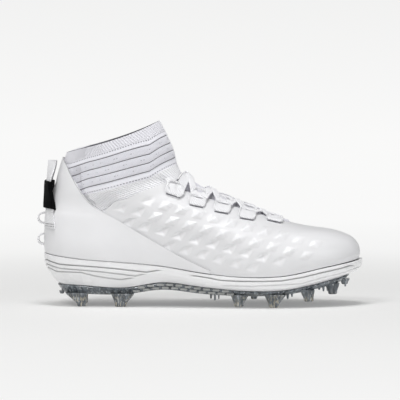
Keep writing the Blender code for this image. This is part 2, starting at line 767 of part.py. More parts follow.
def make_laces(collection, cutters):
    last = len(LOOP_PLACES) - 1
    lace_strip("lace_bar", loop_mouth(last, -1, 1), loop_mouth(last, 1, 1), BAR_ROWS, collection)
    for number in range(last):
        name = "lace_cross_%d" % (number + 1)
        low_left = loop_mouth(number, -1, 1)
        high_right = loop_mouth(number + 1, 1, -1)
        high_left = loop_mouth(number + 1, -1, -1)
        low_right = loop_mouth(number, 1, 1)
        cross = lace_strip(name, low_left, high_right, LACE_ROWS, collection)
        other = lace_strip(name + "_form", high_left, low_right, LACE_ROWS, cutters)
        other.hide_render = True
        other.display_type = "WIRE"
        join = cross.modifiers.new("Crossing", "BOOLEAN")
        join.operation = "UNION"
        join.solver = "EXACT"
        join.object = other


def strap_leg(level, out, beyond):
    """The strap's outer face across one leg at a level, moved out and widened past its edges."""
    stations = np.array(STRAP_STATIONS)
    stand_off = np.interp(level, column(STRAP_ROWS, "level"), column(STRAP_ROWS, "stand_off"))
    clear = OVERLAY_FIT + COUNTER_WALL + FIT + STRAP_WALL + stand_off
    row = on_last(stations, np.full(3, level), np.full(3, clear + out))
    way = (row[2] - row[0]) / np.linalg.norm(row[2] - row[0])
    return row + np.outer([-beyond, 0, beyond], way)


def make_heel_strap(collection):
    leg = [strap_leg(row.level, 0, 0) for row in STRAP_ROWS]
    start = leg[-1]
    arch = []
    for turn in np.linspace(0, math.pi / 2, 6)[1:]:
        rise = math.sin(turn)
        x = start[:, 0] + (LENGTH * np.array(STRAP_ARCH_EDGES) - start[:, 0]) * rise
        z = start[:, 2] + (WHOLE_HEIGHT * STRAP_TOP - start[:, 2]) * rise
        arch.append(np.column_stack([x, start[:, 1] * math.cos(turn), z]))
    side = np.array(leg + arch)
    grid = np.concatenate([side, side[-2::-1] * [1, -1, 1]])
    return open_patch("heel_strap", grid, STRAP_WALL, WHITE_WEBBING, collection)


def make_sleeves(collection):
    """A flat tube round each leg of the strap."""
    outer = []
    inner = []
    for level in np.linspace(*SLEEVE_LEVELS, 5):
        for wall, loops in ((SLEEVE_WALL + FIT, outer), (FIT, inner)):
            front = strap_leg(level, wall, wall)
            back = strap_leg(level, -STRAP_WALL - wall, wall)
            loops.append(np.concatenate([front, back[::-1]]))
    mirror = np.array([1, -1, 1])
    outer = np.array(outer)
    inner = np.array(inner)
    tube_solid("strap_sleeve_lateral", outer, inner, BLACK_RUBBER, collection)
    tube_solid("strap_sleeve_medial", outer * mirror, inner * mirror, BLACK_RUBBER, collection)


def tube_solid(name, outer, inner, look, collection):
    rows, columns = outer.shape[:2]
    count = rows * columns
    faces = grid_faces(rows, columns, True)
    faces += [tuple(count + k for k in reversed(face)) for face in grid_faces(rows, columns, True)]
    for j in range(columns):
        k = (j + 1) % columns
        faces.append((j, count + j, count + k, k))
        top = (rows - 1) * columns
        faces.append((top + j, top + k, count + top + k, count + top + j))
    points = np.concatenate([outer.reshape(-1, 3), inner.reshape(-1, 3)])
    made = add_object(name, points, faces, look, collection)
    facing_out(made.data)
    return made


def facing_out(mesh):
    edit = bmesh.new()
    edit.from_mesh(mesh)
    bmesh.ops.recalc_face_normals(edit, faces=edit.faces)
    edit.to_mesh(mesh)
    edit.free()


def back_point(height, offset):
    """A point on the centre back at a height."""
    levels = np.linspace(0, 1, EDGE_STEPS + 1)
    back = on_last(0, levels, np.array(offset))
    return np.interp(height, back[:, 2], back[:, 0])


def make_heel_loops(collection):
    """A webbing tab that stands out from the centre back as a small open loop."""
    for tab in TABS:
        top = WHOLE_HEIGHT * tab.top
        bottom = WHOLE_HEIGHT * tab.bottom
        clear = OVERLAY_FIT + COUNTER_WALL + FIT
        rows = []
        for share in np.linspace(0, 1, TAB_ROWS):
            z = bottom + (top - bottom) * (0.5 - 0.5 * math.cos(math.pi * share))
            bulge = math.sin(math.pi * share)
            x = back_point(z, clear) * (1 - bulge) - TAB_REACH * bulge
            rows.append([(x, TAB_WIDTH / 2, z), (x, -TAB_WIDTH / 2, z)])
        open_patch(tab.name, np.array(rows), TAB_WALL, WHITE_WEBBING, collection)


def stand_on_origin(objects):
    """Moves the whole boot so that the middle of its box stands on the origin."""
    bpy.context.view_layer.update()
    graph = bpy.context.evaluated_depsgraph_get()
    points = []
    for made in objects:
        mesh = made.evaluated_get(graph).to_mesh()
        corners = np.empty(len(mesh.vertices) * 3)
        mesh.vertices.foreach_get("co", corners)
        points.append(corners.reshape(-1, 3))
        made.evaluated_get(graph).to_mesh_clear()
    points = np.concatenate(points)
    middle = (points.min(axis=0) + points.max(axis=0)) / 2
    anchor = bpy.data.objects.new("boot", None)
    objects[0].users_collection[0].objects.link(anchor)
    for made in bpy.data.objects:
        if made is not anchor:
            made.parent = anchor
    anchor.location = (-middle[0], -middle[1], -points[:, 2].min())


def main():
    for old in list(bpy.data.objects):
        bpy.data.objects.remove(old)
    parts = bpy.data.collections.new("american_football_cleat")
    cutters = bpy.data.collections.new("forms")
    for made in (parts, cutters):
        bpy.context.scene.collection.children.link(made)
    make_sole_plate(parts)
    make_outsole(parts, cutters)
    make_insole(parts)
    make_upper(parts)
    make_counter(parts)
    make_collar(parts)
    make_tongue(parts)
    make_lace_loops(parts)
    make_laces(parts, cutters)
    make_heel_strap(parts)
    make_sleeves(parts)
    make_heel_loops(parts)
    stand_on_origin(list(parts.objects))


main()
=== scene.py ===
"""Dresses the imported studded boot: relief, knit, webbing, laces, clear outsole, and the studio round it.

The lasted pieces follow the last that the solids follow, so its tables are repeated here. Lengths are in metres.
"""

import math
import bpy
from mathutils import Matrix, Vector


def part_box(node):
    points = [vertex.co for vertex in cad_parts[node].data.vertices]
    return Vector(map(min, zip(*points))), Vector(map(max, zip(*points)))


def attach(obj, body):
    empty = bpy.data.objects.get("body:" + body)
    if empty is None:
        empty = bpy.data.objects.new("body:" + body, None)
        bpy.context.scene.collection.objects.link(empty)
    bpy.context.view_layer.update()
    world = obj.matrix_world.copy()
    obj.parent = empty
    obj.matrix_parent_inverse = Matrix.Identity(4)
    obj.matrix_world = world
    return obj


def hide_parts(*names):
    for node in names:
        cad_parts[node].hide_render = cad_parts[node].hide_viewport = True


bl_info = {
    "name": "Studded Boot Dressing",
    "version": (1, 0, 0),
    "blender": (4, 5, 0),
    "location": "View3D > Sidebar > Boot",
    "description": "Moulded shell, knitted collar, webbing, laces and clear studded outsole round a packed boot",
    "category": "Object",
}

from collections import namedtuple
from functools import lru_cache

import bpy
import numpy as np

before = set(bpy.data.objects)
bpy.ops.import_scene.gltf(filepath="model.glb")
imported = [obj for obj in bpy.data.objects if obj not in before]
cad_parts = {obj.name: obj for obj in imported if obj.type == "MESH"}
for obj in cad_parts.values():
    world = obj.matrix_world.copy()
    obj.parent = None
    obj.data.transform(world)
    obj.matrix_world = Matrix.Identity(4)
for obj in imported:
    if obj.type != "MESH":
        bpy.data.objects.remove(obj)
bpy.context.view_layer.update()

# The boot's own x and y start at the heel's edge and on the middle line.
HEEL_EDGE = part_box("sole_plate")[0].x
MIDDLE_LINE = (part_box("heel_loop_lower")[0].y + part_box("heel_loop_lower")[1].y) / 2
PLACE = np.array([HEEL_EDGE, MIDDLE_LINE, 0.0])

LENGTH = 0.305
BALL_WIDTH = 0.108
SOLE_HEIGHT = 0.050
HEEL_RISE = 0.0985
INSTEP_RISE = 0.1300
TOE_SWING = 0.008
UPPER_WALL = 0.0020
COUNTER_WALL = 0.0010
COLLAR_WALL = 0.0036
TONGUE_WALL = 0.0026
TONGUE_PUFF = 0.0041
TONGUE_INSET = 0.0025
INSOLE_THICKNESS = 0.0040
FIT = 0.0004
OVERLAY_FIT = 0.0006
COLLAR_FIT = 0.0009
COLLAR_SHOW = 0.0005
CUP_RIM = 0.0038
CUP_WALL = 0.0034
HEEL_UNDERCUT = 0.0135
SIDE_UNDERCUT = 0.0085
OUTSOLE_BEVEL = 0.0030
OUTSOLE_EDGE = 0.0012
STUD_ROOT = 0.0012
LOOP_WIDTH = 0.0160
LOOP_OVERHANG = 0.0042
LOOP_LIFT_RUN = 0.0075
LOOP_WALL = 0.0016
LOOP_CROWN = 0.0011
LOOP_SOFT_EDGE = 0.0007
SLIT_WALL = 0.0008
LOOP_AXIS = 0.04
WINDOW_INSET = 0.0021
LACE_WALL = 0.0013
LACE_CROWN = 0.0003
LACE_SPREAD = 0.0043
LACE_MOUTH = 0.0050
PASS_HALF = 0.0064
PASS_DROP = 0.0064 - LOOP_OVERHANG
STRAP_WALL = 0.0014
SLEEVE_WALL = 0.0012
TAB_WIDTH = 0.0090
TAB_WALL = 0.0016
TAB_REACH = 0.0068
FOOTBED_LEVEL = 0.36
FOOTBED_TUCK = 0.40
OUTSOLE_TUCK = 0.94
OUTSOLE_LEAN = 0.20
COUNTER_START = 0.012
COUNTER_LEAST = 0.030
SWELL_START = 0.015
SWELL_RUN = 0.060
TONGUE_LEVELS = (0.46, 0.84)
TONGUE_HALF_WIDTHS = (0.22, 0.50)
TONGUE_DIP = (0.69, 0.74)
TONGUE_DIP_DELAY = 0.050

Ring = namedtuple("Ring", "back_x back_rise front_x front_rise lateral medial ankle wave sag")
RINGS = [
    Ring(0.0070, 0.000, 0.9885, 0.000, 0.970, 0.965, 0.00, 1.00, 0.000),
    Ring(0.0045, 0.061, 0.9930, 0.047, 1.000, 1.000, 0.00, 0.97, 0.000),
    Ring(0.0040, 0.142, 0.9840, 0.114, 1.010, 1.010, 0.02, 0.90, 0.000),
    Ring(0.0048, 0.223, 0.9590, 0.168, 0.985, 0.990, 0.08, 0.78, 0.000),
    Ring(0.0055, 0.305, 0.9050, 0.211, 0.935, 0.945, 0.18, 0.58, 0.000),
    Ring(0.0080, 0.386, 0.8330, 0.236, 0.875, 0.885, 0.34, 0.40, 0.000),
    Ring(0.0125, 0.436, 0.7740, 0.266, 0.820, 0.825, 0.50, 0.27, 0.000),
    Ring(0.0175, 0.492, 0.6750, 0.338, 0.760, 0.760, 0.70, 0.14, 0.000),
    Ring(0.0245, 0.548, 0.5475, 0.452, 0.715, 0.710, 0.86, 0.04, 0.000),
    Ring(0.0325, 0.612, 0.4560, 0.575, 0.690, 0.685, 1.00, 0.00, 0.000),
    Ring(0.0410, 0.695, 0.4220, 0.670, 0.680, 0.675, 1.00, 0.00, 0.002),
    Ring(0.0530, 0.845, 0.4030, 0.825, 0.660, 0.655, 1.00, 0.00, 0.014),
    Ring(0.0690, 1.000, 0.3630, 0.997, 0.650, 0.645, 1.00, 0.00, 0.026),
]
SAG_PLACE = 1.8

Outline = namedtuple("Outline", "lateral medial ankle")
OUTLINES = [
    Outline(0.000, 0.000, 0.000),
    Outline(0.490, 0.470, 0.500),
    Outline(0.680, 0.660, 0.800),
    Outline(0.700, 0.620, 0.950),
    Outline(0.870, 0.690, 1.000),
    Outline(1.030, 0.905, 0.910),
    Outline(0.880, 0.780, 0.690),
    Outline(0.540, 0.460, 0.375),
    Outline(0.000, 0.000, 0.000),
]

SoleLine = namedtuple("SoleLine", "seam plate_bottom outsole_bottom")
SOLE_LINES = [
    SoleLine(1.000, 0.440, 0.260),
    SoleLine(0.906, 0.410, 0.236),
    SoleLine(0.848, 0.370, 0.232),
    SoleLine(0.778, 0.475, 0.326),
    SoleLine(0.656, 0.392, 0.254),
    SoleLine(0.588, 0.330, 0.222),
    SoleLine(0.608, 0.340, 0.242),
    SoleLine(0.752, 0.480, 0.370),
    SoleLine(0.884, 0.660, 0.560),
]

# The plate's side from rim to underside: drops are shares of the side's height, tuck is a share of the undercut.
SideRow = namedtuple("SideRow", "heel_drop fore_drop tuck")
SIDE_ROWS = [
    SideRow(0.00, 0.00, 0.00),
    SideRow(0.18, 0.20, 0.00),
    SideRow(0.26, 0.30, 0.02),
    SideRow(0.34, 0.54, 0.05),
    SideRow(0.42, 0.64, 0.09),
    SideRow(0.52, 0.74, 0.20),
    SideRow(0.60, 0.82, 0.30),
    SideRow(0.80, 0.92, 0.62),
    SideRow(1.00, 1.00, 1.00),
]

EdgePoint = namedtuple("EdgePoint", "along height")
CUFF_EDGE = [
    EdgePoint(0.000, 0.790),
    EdgePoint(0.042, 0.800),
    EdgePoint(0.062, 0.828),
    EdgePoint(0.071, 0.800),
    EdgePoint(0.083, 0.744),
    EdgePoint(0.104, 0.668),
    EdgePoint(0.128, 0.600),
    EdgePoint(0.150, 0.560),
    EdgePoint(0.175, 0.530),
    EdgePoint(0.192, 0.524),
    EdgePoint(0.205, 0.545),
    EdgePoint(0.222, 0.574),
    EdgePoint(0.260, 0.594),
    EdgePoint(0.300, 0.626),
    EdgePoint(0.345, 0.655),
    EdgePoint(0.380, 0.682),
    EdgePoint(0.430, 0.720),
    EdgePoint(1.000, 1.100),
]
COUNTER_EDGE = [
    EdgePoint(0.000, 1.000),
    EdgePoint(0.128, 0.620),
    EdgePoint(0.150, 0.556),
    EdgePoint(0.175, 0.529),
    EdgePoint(0.237, 0.475),
    EdgePoint(0.300, 0.408),
    EdgePoint(0.363, 0.346),
    EdgePoint(0.426, 0.285),
    EdgePoint(0.488, 0.232),
    EdgePoint(0.530, 0.200),
    EdgePoint(1.000, -0.200),
]
COLLAR_FOOT = [
    EdgePoint(0.000, 0.480),
    EdgePoint(0.200, 0.440),
    EdgePoint(0.310, 0.500),
    EdgePoint(0.375, 0.590),
    EdgePoint(0.430, 0.725),
    EdgePoint(1.000, 0.725),
]
# The uppermost of the four lines knitted into the collar.
KNIT_LINE = [
    EdgePoint(0.082, 0.757),
    EdgePoint(0.143, 0.793),
    EdgePoint(0.206, 0.820),
    EdgePoint(0.269, 0.850),
    EdgePoint(0.332, 0.878),
    EdgePoint(0.363, 0.911),
    EdgePoint(0.382, 0.927),
    EdgePoint(0.420, 0.953),
]

# The knitted panel: the drop from one line to the next and from the first to the last, and how soft its edges are.
KNIT_PITCH = 0.00785
PANEL_DROP = KNIT_PITCH * 3
PANEL_EDGE = 0.0015
PLEAT_HEIGHT = 0.00045
FRONT_STRIP = 0.0052
# The rim rises towards the front, from this place on and over this run.
RIM_RISE = 0.0026
RIM_RISE_FROM = 0.045
RIM_RISE_RUN = 0.050
ANKLE_X = 0.072

# Half the width of the throat between the lace rows, as a share of half the ball width.
ThroatPoint = namedtuple("ThroatPoint", "along half_width")
THROAT = [
    ThroatPoint(0.360, 0.530),
    ThroatPoint(0.450, 0.450),
    ThroatPoint(0.530, 0.360),
    ThroatPoint(0.607, 0.275),
    ThroatPoint(0.690, 0.190),
    ThroatPoint(0.745, 0.150),
    ThroatPoint(0.768, 0.100),
    ThroatPoint(0.778, 0.000),
    ThroatPoint(1.000, -0.500),
]

# Where each loop crosses the throat's edge, how it leans, how far down it runs, and how far the lace lifts it.
LoopPlace = namedtuple("LoopPlace", "along lean depth lift")
LOOP_PLACES = [
    LoopPlace(0.408, 0.10, 0.0112, 0.0026),
    LoopPlace(0.482, 0.10, 0.0165, 0.0042),
    LoopPlace(0.560, 0.10, 0.0185, 0.0046),
    LoopPlace(0.638, 0.08, 0.0215, 0.0030),
    LoopPlace(0.722, 0.06, 0.0150, 0.0012),
]

Stud = namedtuple("Stud", "side root_from root_to tip_from tip_to across root_width tip_width tip_height")
STUDS = [
    Stud(-1, 0.068, 0.136, 0.104, 0.134, 0.36, 0.26, 0.16, 0.000),
    Stud(+1, 0.068, 0.136, 0.104, 0.134, 0.34, 0.26, 0.16, 0.000),
    Stud(-1, 0.212, 0.284, 0.223, 0.259, 0.45, 0.26, 0.17, 0.000),
    Stud(+1, 0.212, 0.284, 0.223, 0.259, 0.40, 0.26, 0.17, 0.000),
    Stud(0, 0.046, 0.066, 0.048, 0.062, 0.00, 0.24, 0.15, 0.210),
    Stud(-1, 0.584, 0.640, 0.594, 0.624, 0.68, 0.24, 0.14, 0.020),
    Stud(+1, 0.596, 0.652, 0.606, 0.636, 0.54, 0.24, 0.14, 0.020),
    Stud(-1, 0.645, 0.678, 0.648, 0.667, 0.28, 0.16, 0.09, 0.125),
    Stud(-1, 0.688, 0.756, 0.702, 0.732, 0.72, 0.26, 0.16, 0.000),
    Stud(+1, 0.700, 0.768, 0.714, 0.744, 0.62, 0.26, 0.16, 0.000),
    Stud(-1, 0.799, 0.846, 0.812, 0.842, 0.60, 0.22, 0.13, 0.105),
    Stud(+1, 0.799, 0.846, 0.812, 0.842, 0.56, 0.22, 0.13, 0.105),
    Stud(0, 0.700, 0.750, 0.710, 0.740, 0.00, 0.22, 0.14, 0.105),
    Stud(-1, 0.878, 0.926, 0.890, 0.918, 0.28, 0.20, 0.12, 0.215),
    Stud(+1, 0.878, 0.926, 0.890, 0.918, 0.36, 0.20, 0.12, 0.215),
    Stud(0, 0.928, 0.960, 0.934, 0.954, 0.00, 0.26, 0.18, 0.380),
]

STUD_FLUTES = 9
STUD_FLUTE_DEPTH = 0.055
STUD_TIP_SOFT = 0.0009
# The last rings of a stud's tip: how high each lies, as a share of the soft edge, and how far it is drawn in.
STUD_TIP_RINGS = ((0.45, 0.10), (0.12, 0.22), (0.0, 0.40), (0.0, 1.0))
# Small teeth between the studs: place along, side, share across, height of the tip, and width.
Tooth = namedtuple("Tooth", "x side across tip width")
TEETH = [
    Tooth(0.0300, -1, 0.30, 0.0150, 0.0040),
    Tooth(0.0345, -1, 0.34, 0.0142, 0.0030),
    Tooth(0.1595, -1, 0.62, 0.0085, 0.0026),
    Tooth(0.1632, -1, 0.63, 0.0068, 0.0026),
    Tooth(0.1668, -1, 0.63, 0.0080, 0.0020),
    Tooth(0.2322, -1, 0.70, 0.0082, 0.0030),
    Tooth(0.2362, -1, 0.70, 0.0102, 0.0024),
    Tooth(0.2625, -1, 0.52, 0.0160, 0.0026),
    Tooth(0.2665, -1, 0.52, 0.0145, 0.0024),
    Tooth(0.2880, -1, 0.30, 0.0182, 0.0024),
    Tooth(0.1595, 1, 0.50, 0.0085, 0.0026),
    Tooth(0.1640, 1, 0.50, 0.0070, 0.0026),
    Tooth(0.2340, 1, 0.55, 0.0085, 0.0030),
    Tooth(0.2645, 1, 0.48, 0.0150, 0.0026),
]

# Pads under the arch, in two rows: their size, the first one's place along, the run from one to the next, how many
# there are on a side with both rows counted, and how far up the outsole's edge each row lies.
PAD_SIZE = (0.0068, 0.0030, 0.0022)
PAD_START = 0.088
PAD_STEP = 0.0044
PAD_COUNT = 21
PAD_LIFTS = (0.30, 0.72)

# The strap's legs on the heel, by level: how far each stands off, and its edges as places round the last.
StrapRow = namedtuple("StrapRow", "level stand_off back front")
STRAP_ROWS = [
    StrapRow(0.280, 0.0000, 0.030, 0.064),
    StrapRow(0.340, 0.0000, 0.030, 0.064),
    StrapRow(0.400, 0.0000, 0.029, 0.062),
    StrapRow(0.450, 0.0001, 0.026, 0.059),
    StrapRow(0.500, 0.0005, 0.023, 0.061),
    StrapRow(0.580, 0.0017, 0.021, 0.060),
    StrapRow(0.680, 0.0040, 0.020, 0.059),
    StrapRow(0.770, 0.0064, 0.020, 0.057),
    StrapRow(0.840, 0.0078, 0.020, 0.056),
]
STRAP_ARCH_EDGES = (0.0120, 0.0400)
STRAP_TOP = 0.797
SLEEVE_LEVELS = (0.490, 0.825)
STITCH_LEVELS = (0.300, 0.322)
STITCH_RADIUS = 0.00028

# The two tabs on the centre back, from top to bottom as shares of the whole height.
Tab = namedtuple("Tab", "name node top bottom")
TABS = [
    Tab("back_tab_upper", "heel_loop_upper", 0.512, 0.445),
    Tab("back_tab_lower", "heel_loop_lower", 0.395, 0.330),
]

# The facets pressed into the forefoot lie on a slanted lattice, seen from the side: x and z of its first cell, its two
# steps, and the half diagonals of a cell.
FACET_ORIGIN = (0.1387, 0.0786)
FACET_STEP = (0.0158, -0.0040)
FACET_ROW_STEP = (-0.0091, -0.0101)
FACET_LONG = (0.0080, 0.0032)
FACET_SHORT = (-0.0016, 0.0045)
# Each run of cells: its row, the first and the last cell, and the height as a share, below nothing where pressed in.
FacetRun = namedtuple("FacetRun", "row first last height")
FACET_RUNS = [
    FacetRun(-1, -3, -3, -0.80),
    FacetRun(-1, -2, 5, 1.00),
    FacetRun(-1, 6, 7, 0.60),
    FacetRun(0, -4, -3, -0.85),
    FacetRun(0, -2, 6, 1.00),
    FacetRun(0, 7, 7, 0.60),
    FacetRun(1, -3, -2, -0.75),
    FacetRun(1, -1, 5, -1.00),
    FacetRun(1, 6, 6, -0.50),
    FacetRun(2, 0, 5, -0.60),
]

# A pressed cell breaks across at this share of its short diagonal. The softness rounds the ridges along and across a
# cell, and its foot, and nothing is raised further out than the reach.
FACET_BREAK = 0.4
FACET_SOFTNESS = (0.0008, 0.0016)
FACET_FOOT_SOFTNESS = 0.0006
FACET_REACH = -0.6

# The facets fade out beside the ridge over the toes, where they are nearer than the bare half, and below the top edge.
RIDGE_BARE_HALF = 0.006
RIDGE_FADE = 0.012
EDGE_FADE_SHARE = 1 / 12

# Soft creases in the shell, each from one place to another seen from the side: x and z, half width and depth.
Crease = namedtuple("Crease", "x0 z0 x1 z1 half_width depth")
CREASES = [
    Crease(0.084, 0.104, 0.118, 0.110, 0.0040, -0.0009),
    Crease(0.122, 0.098, 0.150, 0.090, 0.0035, 0.0006),
    Crease(0.168, 0.056, 0.196, 0.047, 0.0040, -0.0004),
    Crease(0.196, 0.058, 0.226, 0.050, 0.0045, 0.0004),
    Crease(0.060, 0.076, 0.094, 0.066, 0.0060, -0.0005),
]

# Grooves along the plate's side: heights above the floor at places along it, and how deep each is.
Groove = namedtuple("Groove", "depth points")
GROOVES = [
    Groove(1.0, [(0.001, 0.0443), (0.015, 0.0408), (0.034, 0.0397), (0.053, 0.0386), (0.072, 0.0367), (0.098, 0.0338),
                 (0.108, 0.0354)]),
    Groove(0.8, [(0.002, 0.0400), (0.015, 0.0369), (0.034, 0.0357), (0.053, 0.0343), (0.072, 0.0321), (0.088, 0.0300),
                 (0.093, 0.0316)]),
    Groove(0.8, [(0.003, 0.0367), (0.010, 0.0338), (0.036, 0.0333), (0.049, 0.0300), (0.063, 0.0278), (0.074, 0.0264),
                 (0.082, 0.0278)]),
    Groove(1.0, [(0.144, 0.0309), (0.159, 0.0287), (0.168, 0.0268), (0.187, 0.0261), (0.206, 0.0261), (0.226, 0.0266),
                 (0.245, 0.0295), (0.264, 0.0335), (0.283, 0.0371), (0.292, 0.0392)]),
    Groove(0.5, [(0.173, 0.0218), (0.197, 0.0215), (0.226, 0.0228), (0.245, 0.0237), (0.264, 0.0287), (0.288, 0.0333),
                 (0.301, 0.0371)]),
]

# A groove that starts before this place runs on round the heel.
HEEL_GROOVES_FROM = 0.01
GROOVE_HALF_WIDTH = 0.00060
GROOVE_FADE = 0.006

# The studio's lamps, which all aim at the boot.
Lamp = namedtuple("Lamp", "name place size power colour")
LAMPS = [
    Lamp("key_light", (-1.0, -1.6, 2.2), 0.7, 23, (1.0, 0.998, 0.995)),
    Lamp("top_light", (-0.1, -0.5, 2.4), 0.8, 30, (1.0, 1.0, 1.0)),
    Lamp("side_light", (2.2, -1.6, 0.6), 1.2, 14, (0.98, 0.99, 1.0)),
]
LAMP_AIM = (0, 0, 0.08)
DOME_LIGHT = 0.22
FLOOR_BOUNCE = 0.22
FLOOR_RADII = (0.0, 0.25, 0.5, 1.0, 2.0, 3.5, 5.0)
FLOOR_SWEEP = 1.4
CAMERA_AIM = (-0.0001, 0.1004)
CAMERA_DISTANCE = 3
CAMERA_RISE = math.radians(3)
CAMERA_LENS = 282

HALF_WIDTH = BALL_WIDTH / 2
TOE_SEAM = SOLE_HEIGHT * SOLE_LINES[-1].seam
WHOLE_HEIGHT = TOE_SEAM + INSTEP_RISE
EDGE_STEPS = 300
PLACE_STEPS = 500
SECTION_STEP = 0.0005
RING_STEPS = 2400
LOWEST_PLACE = 0.06
MERGE = 0.00001
BAG_ROWS = 4
SIDES = ((-1, "lateral"), (1, "medial"))


# ---- the last ----


def column(rows, name):
    return np.array([getattr(row, name) for row in rows], float)


def smooth(share):
    share = np.clip(share, 0, 1)
    return share * share * (3 - 2 * share)


def even_curve(values, share):
    """A smooth curve through evenly spaced values, read at shares from 0 to 1."""
    ends = np.concatenate([[2 * values[0] - values[1]], values, [2 * values[-1] - values[-2]]])
    place = np.clip(share, 0, 1) * (len(values) - 1)
    first = np.minimum(place.astype(int), len(values) - 2)
    f = place - first
    a, b, c, d = (ends[first + k] for k in range(4))
    return b + f * (c - a + f * (2 * a - 5 * b + 4 * c - d + f * (3 * (b - c) + d - a))) / 2


def sole_line(name, x):
    return SOLE_HEIGHT * even_curve(column(SOLE_LINES, name), np.asarray(x / LENGTH, float))


def edge_height(points, x):
    return WHOLE_HEIGHT * np.interp(x / LENGTH, column(points, "along"), column(points, "height"))


def throat_half_width(x):
    return HALF_WIDTH * np.interp(x / LENGTH, column(THROAT, "along"), column(THROAT, "half_width"))


def centre_y(x):
    """The foot's middle line, which turns to the inner side towards the toe."""
    return TOE_SWING * np.clip(x / LENGTH, 0, None) ** 3


def outlines(u):
    """Position along the ring, side, and the foot's and ankle's half widths, for u from 0 (heel) by 0.5 (toe) to 1."""
    u = np.mod(u, 1)
    along = (1 - np.cos(2 * np.pi * u)) / 2
    lateral = u <= 0.5
    share = np.where(lateral, 2 * u, 2 - 2 * u)
    foot = np.where(
        lateral,
        even_curve(column(OUTLINES, "lateral"), share),
        even_curve(column(OUTLINES, "medial"), share),
    )
    return along, lateral, foot, even_curve(column(OUTLINES, "ankle"), share)


def last_point(u, t):
    """Points of the last's surface: u runs round a ring, t from the seam (0) to the collar's rim (1)."""
    u, t = np.broadcast_arrays(np.asarray(u, float), np.asarray(t, float))
    along, lateral, foot, ankle = outlines(u)
    ring = {name: even_curve(column(RINGS, name), t) for name in Ring._fields}
    back_x = LENGTH * ring["back_x"]
    front_x = LENGTH * ring["front_x"]
    x = back_x + (front_x - back_x) * along
    blend = np.clip(ring["ankle"], 0, 1)
    half = HALF_WIDTH * np.where(lateral, -ring["lateral"], ring["medial"])
    y = centre_y(x) + half * (foot * (1 - blend) + ankle * blend)
    back_z = sole_line("seam", back_x) + HEEL_RISE * ring["back_rise"]
    front_z = TOE_SEAM + INSTEP_RISE * ring["front_rise"]
    chord = sole_line("seam", back_x) * (1 - along) + sole_line("seam", front_x) * along
    z = back_z + (front_z - back_z) * along + ring["wave"] * (sole_line("seam", x) - chord)
    z = z - INSTEP_RISE * ring["sag"] * np.sin(np.pi * along**SAG_PLACE) + FIT
    return np.stack([x, y, z], -1)


def last_normal(u, t):
    step = 1e-4
    t = np.clip(t, step, 1 - step)
    across = last_point(u + step, t) - last_point(u - step, t)
    up = last_point(u, t + step) - last_point(u, t - step)
    normal = np.cross(across, up)
    return normal / np.linalg.norm(normal, axis=-1, keepdims=True)


def on_last(u, t, offset):
    """Points at a distance from the last's surface, outwards where it is positive."""
    u, t, offset = np.broadcast_arrays(u, t, offset)
    return last_point(u, t) + last_normal(u, t) * offset[..., None]


def highest_level(u, margin):
    """For each u, the level at which the margin, a function of x, y and z, first falls to nothing."""
    levels = np.linspace(0, 1, EDGE_STEPS + 1)[:, None]
    points = last_point(np.broadcast_to(u, (len(levels), len(u))), levels)
    gap = margin(points[..., 0], points[..., 1], points[..., 2])
    found = np.argmax(gap <= 0, axis=0)
    found = np.where((gap > 0).all(axis=0), len(levels) - 1, np.maximum(found, 1))
    which = np.arange(len(u))
    before = gap[found - 1, which]
    after = gap[found, which]
    share = np.clip(before / np.where(before == after, 1, before - after), 0, 1)
    return (found - 1 + share) / (len(levels) - 1)


def shell_margin(x, y, z):
    cuff = edge_height(CUFF_EDGE, x) - z
    throat = np.abs(y - centre_y(x)) - throat_half_width(x)
    return np.minimum(cuff, throat)


def counter_margin(x, y, z):
    return np.minimum(edge_height(CUFF_EDGE, x), edge_height(COUNTER_EDGE, x)) - z


def collar_foot_margin(x, y, z):
    return edge_height(COLLAR_FOOT, x) - z


def stations(count, fine_from=0.0, coarse_share=1.0, toe_from=1.0, toe_share=1.0):
    """Values of u round the last, spread by the run along the seam and the top edge, wider apart at heel and toe."""
    u = np.linspace(0, 0.5, RING_STEPS // 2 + 1)
    bottom = last_point(u, 0)
    top = last_point(u, highest_level(u, shell_margin))
    steps = [np.linalg.norm(np.diff(edge, axis=0), axis=1) for edge in (bottom, top)]
    steps = sum(np.minimum(step, 3 * step.mean()) / step.sum() for step in steps)
    steps = steps * np.where(bottom[1:, 0] < fine_from, coarse_share, 1)
    steps = steps * np.where(bottom[1:, 0] > toe_from, toe_share, 1)
    run = np.concatenate([[0], np.cumsum(steps)])
    half = np.interp(np.linspace(0, run[-1], count // 2 + 1), run, u)
    return np.concatenate([half, 1 - half[-2::-1]])


@lru_cache(maxsize=None)
def instep_section(number, side):
    """u, t, distance from the middle line, and run down from the ridge, across the last at a numbered place."""
    x = number * SECTION_STEP
    levels = np.linspace(LOWEST_PLACE, 1, PLACE_STEPS + 1)
    back_x = LENGTH * even_curve(column(RINGS, "back_x"), levels)
    front_x = LENGTH * even_curve(column(RINGS, "front_x"), levels)
    turn = np.linspace(0.5, 0.27, 120)
    along = (1 - np.cos(2 * np.pi * turn)) / 2
    ahead = back_x[None, :] + (front_x - back_x)[None, :] * along[:, None] - x
    found = np.clip(np.argmax(ahead <= 0, axis=1), 1, PLACE_STEPS)
    which = np.arange(len(turn))
    before = ahead[which, found - 1]
    after = ahead[which, found]
    share = np.clip(before / (before - after), 0, 1)
    levels = levels[found - 1] + share * (levels[1] - levels[0])
    u = turn if side < 0 else 1 - turn
    points = last_point(u, levels)
    run = np.concatenate([[0], np.cumsum(np.linalg.norm(np.diff(points, axis=0), axis=1))])
    return u, levels, np.abs(points[:, 1] - centre_y(x)), run


